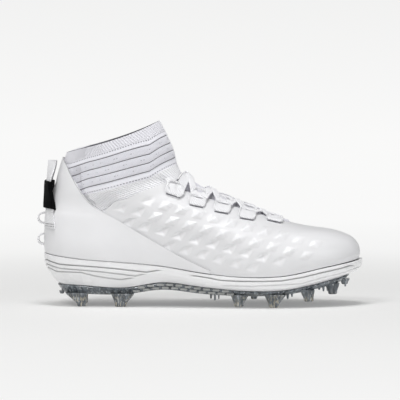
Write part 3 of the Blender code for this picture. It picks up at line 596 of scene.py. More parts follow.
def throat_run(x, side):
    """The run from the ridge down to the throat's edge at x."""
    place = x / SECTION_STEP
    number = int(place)
    found = []
    for at in (number, number + 1):
        _, _, widths, run = instep_section(at, side)
        found.append(np.interp(throat_half_width(x), widths, run))
    return float(found[0] + (found[1] - found[0]) * (place - number))


def on_instep(x, run, offset):
    """Points over the instep: x, signed run from the ridge (below nothing on the outer side), distance off the last."""
    u = np.empty(x.shape)
    t = np.empty(x.shape)
    for index in np.ndindex(x.shape):
        side = -1 if run[index] < 0 else 1
        place = x[index] / SECTION_STEP
        number = int(place)
        share = place - number
        first = instep_section(number, side)
        second = instep_section(number + 1, side)
        for target, which in ((u, 0), (t, 1)):
            start = np.interp(abs(run[index]), first[3], first[which])
            end = np.interp(abs(run[index]), second[3], second[which])
            target[index] = start + (end - start) * share
    return on_last(u, t, offset)


def squared_turn(turn, squareness):
    """Sine and cosine of a turn, drawn out towards the corners of a square."""
    return [np.sign(wave) * np.abs(wave) ** (2 / squareness) for wave in (np.sin(turn), np.cos(turn))]


def sole_outline(u, inset):
    """Plan points of the sole's edge, moved inwards by the inset."""

    def edge(at):
        along, lateral, foot, _ = outlines(at)
        x = LENGTH * along
        return np.stack([x, centre_y(x) + HALF_WIDTH * np.where(lateral, -foot, foot)], -1)

    step = 1e-4
    way = edge(u + step) - edge(u - step)
    way = way / np.linalg.norm(way, axis=-1, keepdims=True)
    inward = np.stack([-way[:, 1], way[:, 0]], -1)
    return edge(u) + inward * np.broadcast_to(inset, u.shape)[:, None]


def undercut(u):
    """How far the plate's underside is tucked in from its edge: most at the heel."""
    return SIDE_UNDERCUT + (HEEL_UNDERCUT - SIDE_UNDERCUT) * np.cos(2 * np.pi * u) ** 2


def footbed_height(x):
    seam = sole_line("seam", x)
    bottom = sole_line("plate_bottom", x)
    return bottom + (seam - bottom) * FOOTBED_LEVEL


def footbed_inset(u):
    return CUP_RIM + CUP_WALL + undercut(u) * FOOTBED_TUCK


# ---- modelling ----


def pick(*made):
    """Selects these objects alone, and makes the first one active."""
    bpy.ops.object.select_all(action="DESELECT")
    for each in made:
        each.select_set(True)
    bpy.context.view_layer.objects.active = made[0]


def edit_all(made):
    pick(made)
    bpy.ops.object.mode_set(mode="EDIT")
    bpy.ops.mesh.select_all(action="SELECT")


def runs(points):
    """Runs in metres along the columns and up the rows of a grid of points."""
    across = np.linalg.norm(np.diff(points, axis=1), axis=-1).mean(axis=0)
    up = np.linalg.norm(np.diff(points, axis=0), axis=-1)
    across = np.concatenate([[0], np.cumsum(across)])
    up = np.concatenate([np.zeros((1, points.shape[1])), np.cumsum(up, axis=0)])
    return np.stack([np.broadcast_to(across, up.shape), up], -1)


def lay_grid(name, points, close=False, solid=False, **marks):
    """A grid whose points are laid on the given places, row after row. Its UV map holds runs in metres.

    Each mark is a value for each point, which a look reads by its name.
    """
    rows, columns = points.shape[:2]
    bpy.ops.object.select_all(action="DESELECT")
    bpy.ops.mesh.primitive_grid_add(x_subdivisions=columns - 1, y_subdivisions=rows - 1, size=LENGTH)
    made = bpy.context.object
    made.name = name
    mesh = made.data
    mesh.name = name
    mesh.vertices.foreach_set("co", (points.reshape(-1, 3) + PLACE).astype(np.float32).ravel())
    corner = np.empty(len(mesh.loops), int)
    mesh.loops.foreach_get("vertex_index", corner)
    mesh.uv_layers[0].data.foreach_set("uv", runs(points).reshape(-1, 2)[corner].astype(np.float32).ravel())
    for label, values in marks.items():
        layer = mesh.attributes.new(label, "FLOAT", "POINT")
        layer.data.foreach_set("value", np.broadcast_to(values, (rows, columns)).astype(np.float32).ravel())
    mesh.update()
    if close or solid:
        edit_all(made)
        bpy.ops.mesh.remove_doubles(threshold=MERGE)
        bpy.ops.mesh.dissolve_degenerate(threshold=MERGE)
        if solid:
            bpy.ops.mesh.normals_make_consistent(inside=False)
        bpy.ops.object.mode_set(mode="OBJECT")
    return made


def modify(made, kind, **values):
    pick(made)
    added = made.modifiers.new(kind.title(), kind)
    for name, value in values.items():
        setattr(added, name, value)
    bpy.ops.object.modifier_apply(modifier=added.name)


def soften(made, width, segments=2, angle=50):
    """Rounds the edges that turn by more than the angle, in degrees."""
    modify(made, "BEVEL", width=width, segments=segments, limit_method="ANGLE", angle_limit=math.radians(angle))


def wall(made, thickness, soft):
    """Gives a sheet its thickness inwards, and rounds the rim."""
    modify(made, "SOLIDIFY", thickness=thickness, offset=-1, use_rim=True)
    soften(made, soft)


def settle(made):
    """Moves an object's place, turn and scale into its mesh."""
    pick(made)
    bpy.ops.object.transform_apply(location=True, rotation=True, scale=True)


def finish_piece(made, look, slot, *nodes):
    made.data.materials.clear()
    made.data.materials.append(look)
    pick(made)
    bpy.ops.object.shade_smooth_by_angle(angle=math.radians(40))
    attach(made, "root")
    if nodes:
        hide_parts(*nodes)
    return made


def joined(name, pieces):
    pick(*pieces)
    bpy.ops.object.join()
    pieces[0].name = name
    pieces[0].data.name = name
    return pieces[0]


def facing_out(points, outward):
    """The grid with its columns turned round where its faces would point against the outward direction."""
    across = points[1:, 1:] - points[1:, :-1]
    up = points[1:, 1:] - points[:-1, 1:]
    facing = (np.cross(across, up) * outward[1:, 1:]).sum()
    return points if facing > 0 else points[:, ::-1]


# ---- looks ----


def make_group(name, inputs, outputs):
    """An empty node group with named inputs and outputs."""
    group = bpy.data.node_groups.new(name, "ShaderNodeTree")
    for label, kind, default in inputs:
        socket = group.interface.new_socket(name=label, in_out="INPUT", socket_type=kind)
        socket.default_value = default
    for label in outputs:
        group.interface.new_socket(name=label, in_out="OUTPUT", socket_type="NodeSocketFloat")
    return group, group.nodes.new("NodeGroupInput"), group.nodes.new("NodeGroupOutput")


def fill_node(tree, kind, operation, operands):
    """A math node whose operands are values or sockets."""
    node = tree.nodes.new(kind)
    node.operation = operation
    for socket, value in zip(node.inputs, operands):
        if isinstance(value, bpy.types.NodeSocket):
            tree.links.new(value, socket)
        else:
            socket.default_value = value
    return node


def math_node(tree, operation, *operands):
    return fill_node(tree, "ShaderNodeMath", operation, operands).outputs[0]


def vector_node(tree, operation, *operands):
    node = fill_node(tree, "ShaderNodeVectorMath", operation, operands)
    return node.outputs["Value" if operation in {"DOT_PRODUCT", "LENGTH"} else "Vector"]


def grain_group():
    """Fine moulded grain, and broad soft patches of handling."""
    group, inputs, outputs = make_group(
        "Grain",
        [
            ("Vector", "NodeSocketVector", (0, 0, 0)),
            ("Grain Scale", "NodeSocketFloat", 900),
            ("Patch Scale", "NodeSocketFloat", 18),
        ],
        ["Grain", "Patches"],
    )
    for scale, detail, output in (("Grain Scale", 3, "Grain"), ("Patch Scale", 4, "Patches")):
        noise = group.nodes.new("ShaderNodeTexNoise")
        noise.inputs["Detail"].default_value = detail
        group.links.new(inputs.outputs["Vector"], noise.inputs["Vector"])
        group.links.new(inputs.outputs[scale], noise.inputs["Scale"])
        group.links.new(noise.outputs[0], outputs.inputs[output])
    return group


def ribs_group():
    """Even ribs across a direction given in turns per metre, as a height from 0 to 1."""
    group, inputs, outputs = make_group(
        "Ribs",
        [("Vector", "NodeSocketVector", (0, 0, 0)), ("Turns", "NodeSocketVector", (500, 0, 0))],
        ["Height"],
    )
    turns = vector_node(group, "DOT_PRODUCT", inputs.outputs["Vector"], inputs.outputs["Turns"])
    wave = math_node(group, "SINE", math_node(group, "MULTIPLY", turns, 2 * math.pi))
    group.links.new(math_node(group, "MULTIPLY_ADD", wave, 0.5, 0.5), outputs.inputs["Height"])
    return group


def place_group(tree, group, vector, **values):
    node = tree.nodes.new("ShaderNodeGroup")
    node.node_tree = group
    tree.links.new(vector, node.inputs["Vector"])
    for name, value in values.items():
        node.inputs[name.replace("_", " ")].default_value = value
    return node


class Look:
    """A Principled material with a few plain ways to build on it."""

    def __init__(self, name, colour, roughness):
        self.material = bpy.data.materials.new(name)
        self.material.use_nodes = True
        self.tree = self.material.node_tree
        self.shader = self.tree.nodes["Principled BSDF"]
        self.shader.inputs["Base Color"].default_value = (*colour, 1)
        self.shader.inputs["Roughness"].default_value = roughness
        self.colour = colour
        self.roughness = roughness
        self.heights = []

    def set(self, **values):
        for name, value in values.items():
            self.shader.inputs[name.replace("_", " ")].default_value = value

    def drive(self, name, output):
        self.tree.links.new(output, self.shader.inputs[name])

    def vector(self, kind):
        return self.tree.nodes.new("ShaderNodeTexCoord").outputs[kind]

    def height(self):
        """The height above the floor."""
        node = self.tree.nodes.new("ShaderNodeSeparateXYZ")
        self.tree.links.new(self.vector("Object"), node.inputs[0])
        return node.outputs["Z"]

    def mark(self, name):
        node = self.tree.nodes.new("ShaderNodeAttribute")
        node.attribute_name = name
        return node.outputs["Fac"]

    def math(self, operation, *operands):
        return math_node(self.tree, operation, *operands)

    def times(self, first, *others):
        for other in others:
            first = self.math("MULTIPLY", first, other)
        return first

    def rest(self, value):
        """What the value leaves of 1."""
        return self.math("SUBTRACT", 1.0, value)

    def between(self, value, low, high, first=0.0, last=1.0):
        """0 below the low value and 1 above the high one; the other way round if low is the greater."""
        node = self.tree.nodes.new("ShaderNodeMapRange")
        for name, number in (("From Min", low), ("From Max", high), ("To Min", first), ("To Max", last)):
            node.inputs[name].default_value = number
        self.tree.links.new(value, node.inputs["Value"])
        return node.outputs[0]

    def near(self, value, place, half_width):
        """1 on a line where the value equals the place, 0 beyond the half width."""
        off = self.math("ABSOLUTE", self.math("SUBTRACT", value, place))
        return self.between(off, half_width, half_width * 0.4)

    def recolour(self, factor, first, second, blend="MIX"):
        """A colour mixed from two, each a colour or a socket."""
        node = self.tree.nodes.new("ShaderNodeMix")
        node.data_type = "RGBA"
        node.blend_type = blend
        for name, value in (("Factor", factor), ("A", first), ("B", second)):
            if isinstance(value, bpy.types.NodeSocket):
                self.tree.links.new(value, node.inputs[name])
            else:
                node.inputs[name].default_value = value if name == "Factor" else (*value, 1)
        return node.outputs["Result"]

    def colour_so_far(self):
        socket = self.shader.inputs["Base Color"]
        return socket.links[0].from_socket if socket.is_linked else self.colour

    def tint(self, value, colour):
        """Mixes towards another colour where the value is high."""
        self.drive("Base Color", self.recolour(value, self.colour_so_far(), colour))

    def shade(self, value, dark, low=0.35, high=0.65):
        """Darkens the colour where the value is low."""
        share = self.recolour(self.between(value, low, high), (dark, dark, dark), (1, 1, 1))
        self.drive("Base Color", self.recolour(1, self.colour_so_far(), share, "MULTIPLY"))

    def roughen(self, value, spread):
        self.drive("Roughness", self.between(value, 0, 1, self.roughness - spread, self.roughness + spread))

    def bump(self, value, depth):
        """Adds a height in metres to the surface."""
        self.heights.append(self.times(value, depth))

    def done(self):
        if self.heights:
            total = self.heights[0]
            for height in self.heights[1:]:
                total = self.math("ADD", total, height)
            bump = self.tree.nodes.new("ShaderNodeBump")
            bump.inputs["Distance"].default_value = 1
            self.tree.links.new(total, bump.inputs["Height"])
            self.drive("Normal", bump.outputs["Normal"])
        return self.material


def streaks(look, grain, stretch):
    """Noise drawn out along the height, as in a clear moulding."""
    mapping = look.tree.nodes.new("ShaderNodeMapping")
    mapping.inputs["Scale"].default_value = stretch
    look.tree.links.new(look.vector("Object"), mapping.inputs["Vector"])
    return place_group(look.tree, grain, mapping.outputs["Vector"], Grain_Scale=1).outputs["Grain"]


def collar_look(look, coordinates, mesh, ribs):
    """Adds the collar's dark lines, dotted rows, dashes and diagonal ribs, placed by the drop below its first line,
    with painted shade in its hollows and on its lining and painted light on its lower band.
    """
    drop = look.mark("drop")
    strip = look.mark("strip")
    cloth = look.rest(strip)

    def ribbed(across, up):
        return place_group(look.tree, ribs, coordinates, Turns=(across, up, 0)).outputs["Height"]

    panel_top = look.between(drop, -0.0016, -0.0010)
    panel = look.times(panel_top, look.between(drop, PANEL_DROP + 0.0016, PANEL_DROP + 0.0010), cloth)
    upper_band = look.times(look.between(drop, -0.0052, -0.0060), cloth)
    lower_band = look.times(look.between(drop, PANEL_DROP + 0.0066, PANEL_DROP + 0.0074), cloth)
    bands = look.math("ADD", upper_band, lower_band)
    dots = look.between(ribbed(370, 0), 0.35, 0.55)
    ribbing = ribbed(420, 190)
    off_line = look.math("PINGPONG", drop, KNIT_PITCH / 2)
    off_middle = look.math("SUBTRACT", KNIT_PITCH / 2, off_line)
    lines = look.times(look.between(off_line, 0.00052, 0.00022), panel)
    zigzag = look.between(ribbed(92, 60), 0.80, 0.90)
    dashes = look.times(look.between(off_middle, 0.0005, 0.0002), zigzag, dots, panel)
    rows = look.math("ADD", look.near(drop, -0.0042, 0.0006), look.near(drop, PANEL_DROP + 0.0054, 0.0006))
    rows = look.times(rows, dots, cloth)
    seam_stitches = look.between(look.math("PINGPONG", drop, 0.0012), 0.0004, 0.0008)
    look.bump(look.times(mesh, panel), 0.00018)
    look.bump(look.times(ribbing, bands), 0.00050)
    look.bump(look.math("ADD", lines, rows), -0.00060)

    # The lining is the side that faces the ankle's own axis; it is painted dark, as the shade inside the collar.
    outward = vector_node(look.tree, "SUBTRACT", look.vector("Object"), (HEEL_EDGE + ANKLE_X, MIDDLE_LINE, 0))
    outward = vector_node(look.tree, "MULTIPLY", outward, (1, 1, 0))
    facing = vector_node(look.tree, "DOT_PRODUCT", outward, look.vector("Normal"))

    for place, amount, colour in (
        # Painted light: the lower band, which lies in shade, is lightened.
        (lower_band, 0.90, (0.97, 0.97, 0.99)),
        # Painted shade in the hollows between the ribs.
        (look.times(look.between(ribbing, 0.5, 0.0), bands), 0.24, (0.50, 0.50, 0.54)),
        # Painted shade in the hollows of the mesh.
        (look.times(look.between(mesh, 0.20, 0.05), panel), 0.45, (0.40, 0.40, 0.45)),
        (strip, 0.80, (0.90, 0.90, 0.92)),
        (look.times(look.near(strip, 0.5, 0.35), seam_stitches), 0.70, (0.30, 0.30, 0.33)),
        (dashes, 0.70, (0.30, 0.30, 0.33)),
        (rows, 0.75, (0.24, 0.24, 0.27)),
        (lines, 0.92, (0.10, 0.10, 0.12)),
        # Painted shade on the lining inside the collar.
        (look.between(facing, -0.002, -0.008), 0.90, (0.16, 0.16, 0.18)),
    ):
        look.tint(look.times(place, amount), colour)
    return look.done()


LOOKS = {}


def looks():
    """All the boot's materials, made once."""
    if LOOKS:
        return LOOKS
    colours = bpy.context.scene.boot_colours
    grain = grain_group()
    ribs = ribs_group()

    def moulded(name, colour, roughness, depth, scale):
        """Smooth plastic whose grain has a depth in metres and a scale."""
        look = Look(name, colour, roughness)
        fine = place_group(look.tree, grain, look.vector("Object"), Grain_Scale=scale)
        look.roughen(fine.outputs["Patches"], 0.10)
        look.shade(fine.outputs["Patches"], 0.95)
        look.bump(fine.outputs["Grain"], depth)
        return look

    def cloth(name, colour, roughness, sheen, uneven, scale):
        """Matt thread with a little sheen, before its weave or knit is added."""
        look = Look(name, colour, roughness)
        fine = place_group(look.tree, grain, look.vector("Object"), Grain_Scale=scale)
        look.shade(fine.outputs["Patches"], 0.96)
        look.roughen(fine.outputs["Grain"], uneven)
        look.set(Sheen_Weight=sheen, Sheen_Roughness=0.5)
        return look

    def woven(name, colour, roughness, turns, depth, dark):
        """Threads that cross, with their turns per metre across and up the piece."""
        look = cloth(name, colour, roughness, sheen=0.25, uneven=0.06, scale=2500)
        coordinates = look.vector("UV")
        warp = place_group(look.tree, ribs, coordinates, Turns=turns).outputs["Height"]
        weft = place_group(look.tree, ribs, coordinates, Turns=(-turns[1], turns[0], 0)).outputs["Height"]
        look.bump(look.math("ADD", look.times(warp, weft), warp), depth)
        # Painted shade: the threads are darker in the valleys between them.
        look.shade(warp, dark, low=0.0, high=0.5)
        return look

    def knitted(name):
        """The look, its coordinates along the piece, and the mesh of its stitches."""
        look = cloth(name, colours.knit, 0.85, sheen=0.35, uneven=0.05, scale=2600)
        coordinates = look.vector("UV")
        stitch = place_group(look.tree, ribs, coordinates, Turns=(950, 0, 0)).outputs["Height"]
        course = place_group(look.tree, ribs, coordinates, Turns=(0, 850, 0)).outputs["Height"]
        return look, coordinates, look.times(stitch, course)

    shell = moulded("moulded_shell", colours.shell, roughness=0.36, depth=0.00004, scale=1400)
    shell.set(Coat_Weight=0.15, Coat_Roughness=0.30)
    # Painted shade: the shell is darker outside the facet cells, in the flat bands between them and over the toe.
    shell.shade(shell.mark("cell"), dark=0.91, low=0.0, high=1.0)
    LOOKS["shell"] = shell.done()
    overlay = moulded("smooth_overlay", colours.overlay, roughness=0.34, depth=0.00002, scale=1800)
    # Painted shadow: a dark line along the overlay's top edge and its step.
    overlay.tint(overlay.times(overlay.between(overlay.mark("rim"), 0.72, 0.90), 0.75), (0.30, 0.30, 0.31))
    LOOKS["overlay"] = overlay.done()
    plate = moulded("moulded_plate", colours.plate, roughness=0.26, depth=0.00002, scale=1100)
    plate.set(Coat_Weight=0.25, Coat_Roughness=0.20)
    # Painted shade in the grooves along the plate's side.
    plate.shade(plate.rest(plate.mark("line")), dark=0.50, low=0.0, high=1.0)
    LOOKS["plate"] = plate.done()

    plain, _, mesh = knitted("plain_knit")
    plain.bump(mesh, 0.00020)
    # Painted shade in the hollows of the knitted mesh.
    plain.shade(mesh, dark=0.84, low=0.0, high=0.35)
    LOOKS["plain_knit"] = plain.done()
    LOOKS["knit"] = collar_look(*knitted("ribbed_knit"), ribs)

    Cloth = namedtuple("Cloth", "key name colour roughness turns depth dark")
    for kind in (
        Cloth("webbing", "woven_webbing", colours.webbing, 0.75, (430, 330, 0), 0.00022, 0.86),
        Cloth("lace", "flat_lace", colours.webbing, 0.78, (0, 900, 0), 0.00012, 0.90),
        Cloth("liner", "sock_liner", colours.liner, 0.90, (600, 600, 0), 0.00018, 0.80),
        Cloth("thread", "stitch_thread", (0.10, 0.10, 0.11), 0.70, (1500, 1500, 0), 0.00005, 0.80),
    ):
        LOOKS[kind.key] = woven(*kind[1:]).done()

    rubber = moulded("matt_rubber", (0.003, 0.003, 0.0035), roughness=0.62, depth=0.00006, scale=1500)
    rubber.set(Specular_IOR_Level=0.04)
    LOOKS["rubber"] = rubber.done()
    LOOKS["shadow"] = moulded("slit_shadow", (0.22, 0.22, 0.25), roughness=0.80, depth=0.00002, scale=1500).done()

    clear = moulded("clear_moulding", colours.outsole, roughness=0.12, depth=0.00003, scale=700)
    clear.set(Transmission_Weight=0.45, IOR=1.46, Coat_Weight=0.4, Coat_Roughness=0.06)
    clear.shade(streaks(clear, grain, (260, 260, 60)), dark=0.45, low=0.42, high=0.58)
    # Painted glints: warm light streaks near the studs' tips, where the clear plastic catches the light.
    tips = clear.between(clear.height(), 0.0150, 0.0030)
    glints = clear.between(streaks(clear, grain, (900, 900, 90)), 0.52, 0.60)
    clear.tint(clear.times(tips, glints), (0.95, 0.86, 0.66))
    pale = clear.between(streaks(clear, grain, (520, 520, 120)), 0.60, 0.66)
    clear.tint(clear.times(pale, 0.7), (0.90, 0.93, 0.96))
    LOOKS["clear"] = clear.done()
    pads = moulded("frosted_pads", (0.46, 0.47, 0.46), roughness=0.30, depth=0.00003, scale=900)
    pads.set(Transmission_Weight=0.15, Coat_Weight=0.3, Coat_Roughness=0.15)
    LOOKS["pads"] = pads.done()
    return LOOKS


# ---- pieces ----


def facet_relief(x, z):
    """Height of the pressed facets as a share, seen from the side."""
    turn = np.linalg.inv(np.column_stack([FACET_LONG, FACET_SHORT]))
    total = np.zeros(x.shape)
    for run in FACET_RUNS:
        for cell in range(run.first, run.last + 1):
            dx = x - (FACET_ORIGIN[0] + cell * FACET_STEP[0] + run.row * FACET_ROW_STEP[0])
            dz = z - (FACET_ORIGIN[1] + cell * FACET_STEP[1] + run.row * FACET_ROW_STEP[1])
            along = turn[0, 0] * dx + turn[0, 1] * dz
            across = turn[1, 0] * dx + turn[1, 1] * dz
            if run.height < 0:
                across = across - FACET_BREAK
                across = np.where(across > 0, across / (1 - FACET_BREAK), across / (1 + FACET_BREAK))
            rise = 1 - np.sqrt(along**2 + FACET_SOFTNESS[0]) - np.sqrt(across**2 + FACET_SOFTNESS[1])
            rounded = (rise + np.sqrt(rise**2 + FACET_FOOT_SOFTNESS)) / 2
            total += run.height * rounded * (rise > FACET_REACH)
    return total


def crease_relief(x, z):
    """Height in metres of the soft creases, seen from the side."""
    total = np.zeros(x.shape)
    for crease in CREASES:
        way = np.array([crease.x1 - crease.x0, crease.z1 - crease.z0])
        length = np.linalg.norm(way)
        way = way / length
        along = (x - crease.x0) * way[0] + (z - crease.z0) * way[1]
        off = (x - crease.x0) * -way[1] + (z - crease.z0) * way[0]
        ends = np.maximum(0, np.abs(along / length - 0.5) - 0.5) * length
        total += crease.depth * np.exp(-(off**2 + ends**2) / crease.half_width**2)
    return total


def build_upper():
    sizes = bpy.context.scene.boot_sizes
    u = stations(460, fine_from=0.080, coarse_share=0.13, toe_from=0.262, toe_share=0.30)
    rows = np.linspace(0, 1, 96)[:, None] ** 0.88
    t = rows * highest_level(u, shell_margin)[None, :]
    x, y, z = np.moveaxis(last_point(u[None, :], t), -1, 0)
    off_ridge = smooth((np.abs(y - centre_y(x)) - RIDGE_BARE_HALF) / RIDGE_FADE)
    off_edge = smooth((1 - rows) / EDGE_FADE_SHARE)
    facets = facet_relief(x, z)
    relief = facets * sizes.facet_height * off_ridge * off_edge + crease_relief(x, z) * off_edge
    # Outside the facet cells, in the flat bands and over the toe, the look paints shade; the cells are left as they
    # are.
    cells = np.clip(np.abs(facets) * 6 - 0.15, 0, 1) * off_ridge
    made = lay_grid("moulded_upper", on_last(u[None, :], t, relief), close=True, cell=cells)
    wall(made, UPPER_WALL, soft=0.0005)
    finish_piece(made, looks()["shell"], "upper", "upper")


def build_overlay():
    u = stations(260)
    level = highest_level(u, counter_margin)
    reach = int(np.argmax(level[: len(u) // 2] < COUNTER_LEAST)) - 1
    u = np.concatenate([u[-1 - reach : -1] - 1, u[: reach + 1]])
    level = np.concatenate([level[-1 - reach : -1], level[: reach + 1]])
    rows = np.linspace(0, 1, 44)[:, None]
    levels = COUNTER_START + rows * (level - COUNTER_START)[None, :]
    points = on_last(u[None, :], levels, np.full(1, COUNTER_WALL + OVERLAY_FIT))
    # The rim mark lets the look paint a shadow line along the top edge.
    made = lay_grid("heel_overlay", points, rim=rows == 1)
    wall(made, COUNTER_WALL, soft=0.0004)
    finish_piece(made, looks()["overlay"], "heel_counter", "heel_counter")


def collar_relief(points):
    """The collar's pleats and front strip: height in metres, drop below the first knitted line, and the strip."""
    x, y, z = np.moveaxis(points, -1, 0)
    drop = edge_height(KNIT_LINE, x) - z
    panel = smooth((drop + PANEL_EDGE) / PANEL_EDGE) * smooth((PANEL_DROP + PANEL_EDGE - drop) / PANEL_EDGE)
    relief = PLEAT_HEIGHT * np.sqrt(np.abs(np.sin(np.pi * drop / KNIT_PITCH))) * panel
    front = smooth((FRONT_STRIP - np.abs(y - centre_y(x))) / 0.0008) * smooth((x / LENGTH - 0.30) / 0.02)
    return relief * (1 - front) + PLEAT_HEIGHT * front, drop, front


def collar_offset(u, t):
    """The knit lies inside the shell where that covers it, and swells almost level with it above."""
    edge = highest_level(u, shell_margin)
    width = max(1, len(u) // 64)
    edge = np.maximum.reduce([np.roll(edge, k) for k in range(-width, width + 1)])
    swell = smooth((t - edge[None, :] - SWELL_START) / SWELL_RUN)
    covered = -(UPPER_WALL + COLLAR_FIT)
    return covered + (-COLLAR_SHOW - covered) * swell


def build_collar():
    u = stations(440)
    foot = highest_level(u, collar_foot_margin)
    rows = np.linspace(0, 1, 100)[:, None]
    t = foot[None, :] + (1 - foot)[None, :] * rows
    base = last_point(u[None, :], t)
    relief, drop, front = collar_relief(base)
    below_rim = smooth((1 - rows) * 30)
    points = on_last(u[None, :], t, collar_offset(u, t) + relief * below_rim)
    points[..., 2] += RIM_RISE * smooth((base[..., 0] - RIM_RISE_FROM) / RIM_RISE_RUN) * smooth((rows - 0.6) / 0.4)
    made = lay_grid("knit_collar", points, close=True, drop=drop, strip=front)
    wall(made, COLLAR_WALL, soft=0.0011)
    finish_piece(made, looks()["knit"], "ankle_collar", "ankle_collar")


def build_tongue():
    columns = 41
    levels = np.linspace(*TONGUE_LEVELS, 70)
    widths = np.linspace(*TONGUE_HALF_WIDTHS, 70) * HALF_WIDTH
    quarter = np.linspace(0.25, 0.5, EDGE_STEPS)
    shares = np.linspace(0, 1, columns // 2 + 1)
    half_turns = []
    puffs = []
    for level, wide in zip(levels, widths):
        points = last_point(quarter, level)
        reach = np.abs(points[:, 1] - centre_y(points[:, 0]))
        inner = throat_half_width(points[-1, 0]) - TONGUE_INSET
        room = np.clip(inner / TONGUE_INSET, 0, 1)
        inner = max(inner, wide / 10)
        half_turns.append(0.5 - np.interp(shares * wide, reach[::-1], quarter[::-1]))
        puffs.append(room * smooth((inner * 1.1 - shares * wide) / (inner * 0.5)))

    def both_sides(half, sign):
        return np.hstack([sign * half[:, :0:-1], half])

    u = 0.5 + both_sides(np.array(half_turns), -1)
    puff = TONGUE_PUFF * both_sides(np.array(puffs), 1)
    under_shell = UPPER_WALL + OVERLAY_FIT
    under_collar = UPPER_WALL + COLLAR_FIT + COLLAR_WALL + COLLAR_FIT
    t = levels[:, None]
    across = np.linspace(-1, 1, columns)[None, :] * widths[:, None]
    late = TONGUE_DIP_DELAY * smooth(1.6 - np.abs(across) / 0.0080)
    deep = np.clip((t - late - TONGUE_DIP[0]) / (TONGUE_DIP[1] - TONGUE_DIP[0]), 0, 1)
    offset = puff * (1 - deep) - (under_shell + (under_collar - under_shell) * deep)
    made = lay_grid("knit_tongue", on_last(u, t, offset))
    wall(made, TONGUE_WALL, soft=0.0008)
    finish_piece(made, looks()["plain_knit"], "tongue", "tongue")


def rounded_outline(half_across, low, high):
    """A rounded rectangle, as offsets across and drops down, starting at the middle of its upper edge."""
    across, up = squared_turn(np.linspace(0, 2 * np.pi, 73), squareness=5)
    return np.stack([across * half_across, (low + high) / 2 - up * (high - low) / 2], -1)


def loop_lift(place, down):
    """How far the lace draws a loop off the shell, at a run down from the throat's edge."""
    return place.lift * np.clip((LOOP_LIFT_RUN - down) / (LOOP_LIFT_RUN + LOOP_OVERHANG), 0, 1) ** 1.3


def build_loop(place, side, node):
    """One loop of webbing with its window."""
    sizes = bpy.context.scene.boot_sizes
    window_top = WINDOW_INSET - LOOP_OVERHANG
    inner = rounded_outline(sizes.window_width / 2, window_top, window_top + sizes.window_height)
    outer = rounded_outline(LOOP_WIDTH / 2, -LOOP_OVERHANG, place.depth)
    shares = np.linspace(0, 1, 13)[:, None, None]
    plan = inner[None] * (1 - shares) + outer[None] * shares
    span = np.linalg.norm(outer - inner, axis=-1)[None, :]
    near = np.minimum(shares[..., 0], 1 - shares[..., 0]) * span
    crown = LOOP_CROWN * (1 - np.exp(-near / LOOP_SOFT_EDGE))
    x = LENGTH * place.along + plan[..., 0] - place.lean * plan[..., 1]
    edge = np.array([[throat_run(float(v), side) for v in row] for row in x])
    points = on_instep(x, side * (edge + plan[..., 1]), 0.0019 + crown + loop_lift(place, plan[..., 1]))
    made = lay_grid("webbing_" + node, facing_out(points, points - [LENGTH * place.along, 0, LOOP_AXIS]), close=True)
    wall(made, LOOP_WALL, soft=0.0004)
    finish_piece(made, looks()["webbing"], "lace_webbing", "lace_" + node)


def build_slit_shadow(place, side, node):
    """A dark strip, painted as the shadow in the slit in the shell that the loop comes out of."""
    along = np.linspace(-0.40, 0.40, 25)[None, :] * LOOP_WIDTH
    down = place.depth + np.linspace(-0.0006, 0.0001, 4)[:, None]
    x, down = np.broadcast_arrays(LENGTH * place.along + along - place.lean * down, down)
    edge = np.array([throat_run(float(v), side) for v in x[0]])[None, :]
    points = on_instep(x, side * (edge + down), np.full(x.shape, 0.0006))
    slit_shadow_piece = lay_grid("slit_" + node, facing_out(points, points - [LENGTH * place.along, 0, LOOP_AXIS]))
    wall(slit_shadow_piece, SLIT_WALL, soft=0.0001)
    finish_piece(slit_shadow_piece, looks()["shadow"], "lace_webbing")


def build_loops():
    for number, place in enumerate(LOOP_PLACES, 1):
        for side, word in SIDES:
            node = "loop_%s_%d" % (word, number)
            build_loop(place, side, node)
            build_slit_shadow(place, side, node)


def lace_strip(name, start, end, lifts, hump=0):
    """A flat lace from one place on the instep to another, each given as x and signed run from the ridge.

    The lifts say how far each end is held off the last, and the hump by how many walls the middle rises.
    """
    start = np.array(start)
    end = np.array(end)
    way = (end - start) / np.linalg.norm(end - start)
    side = np.array([-way[1], way[0]]) * bpy.context.scene.boot_sizes.lace_width
    share = np.linspace(0, 1, 64)[:, None]
    across = np.linspace(-0.5, 0.5, 9)[None, :]
    x = start[0] + (end - start)[0] * share + side[0] * across
    run = start[1] + (end - start)[1] * share + side[1] * across
    lift = hump * LACE_WALL * 1.1 * np.exp(-(((share - 0.5) / 0.17) ** 2))
    lift = lift + lifts[0] * (1 - share) + lifts[1] * share
    crown = LACE_CROWN * (1 - (2 * across) ** 4)
    points = on_instep(x, run, FIT + LACE_WALL - 0.0001 + crown + lift)
    made = lay_grid(name, facing_out(points, np.broadcast_to([0.0, 0.0, 1.0], points.shape)))
    wall(made, LACE_WALL - 0.0001, soft=0.0004)
    return made


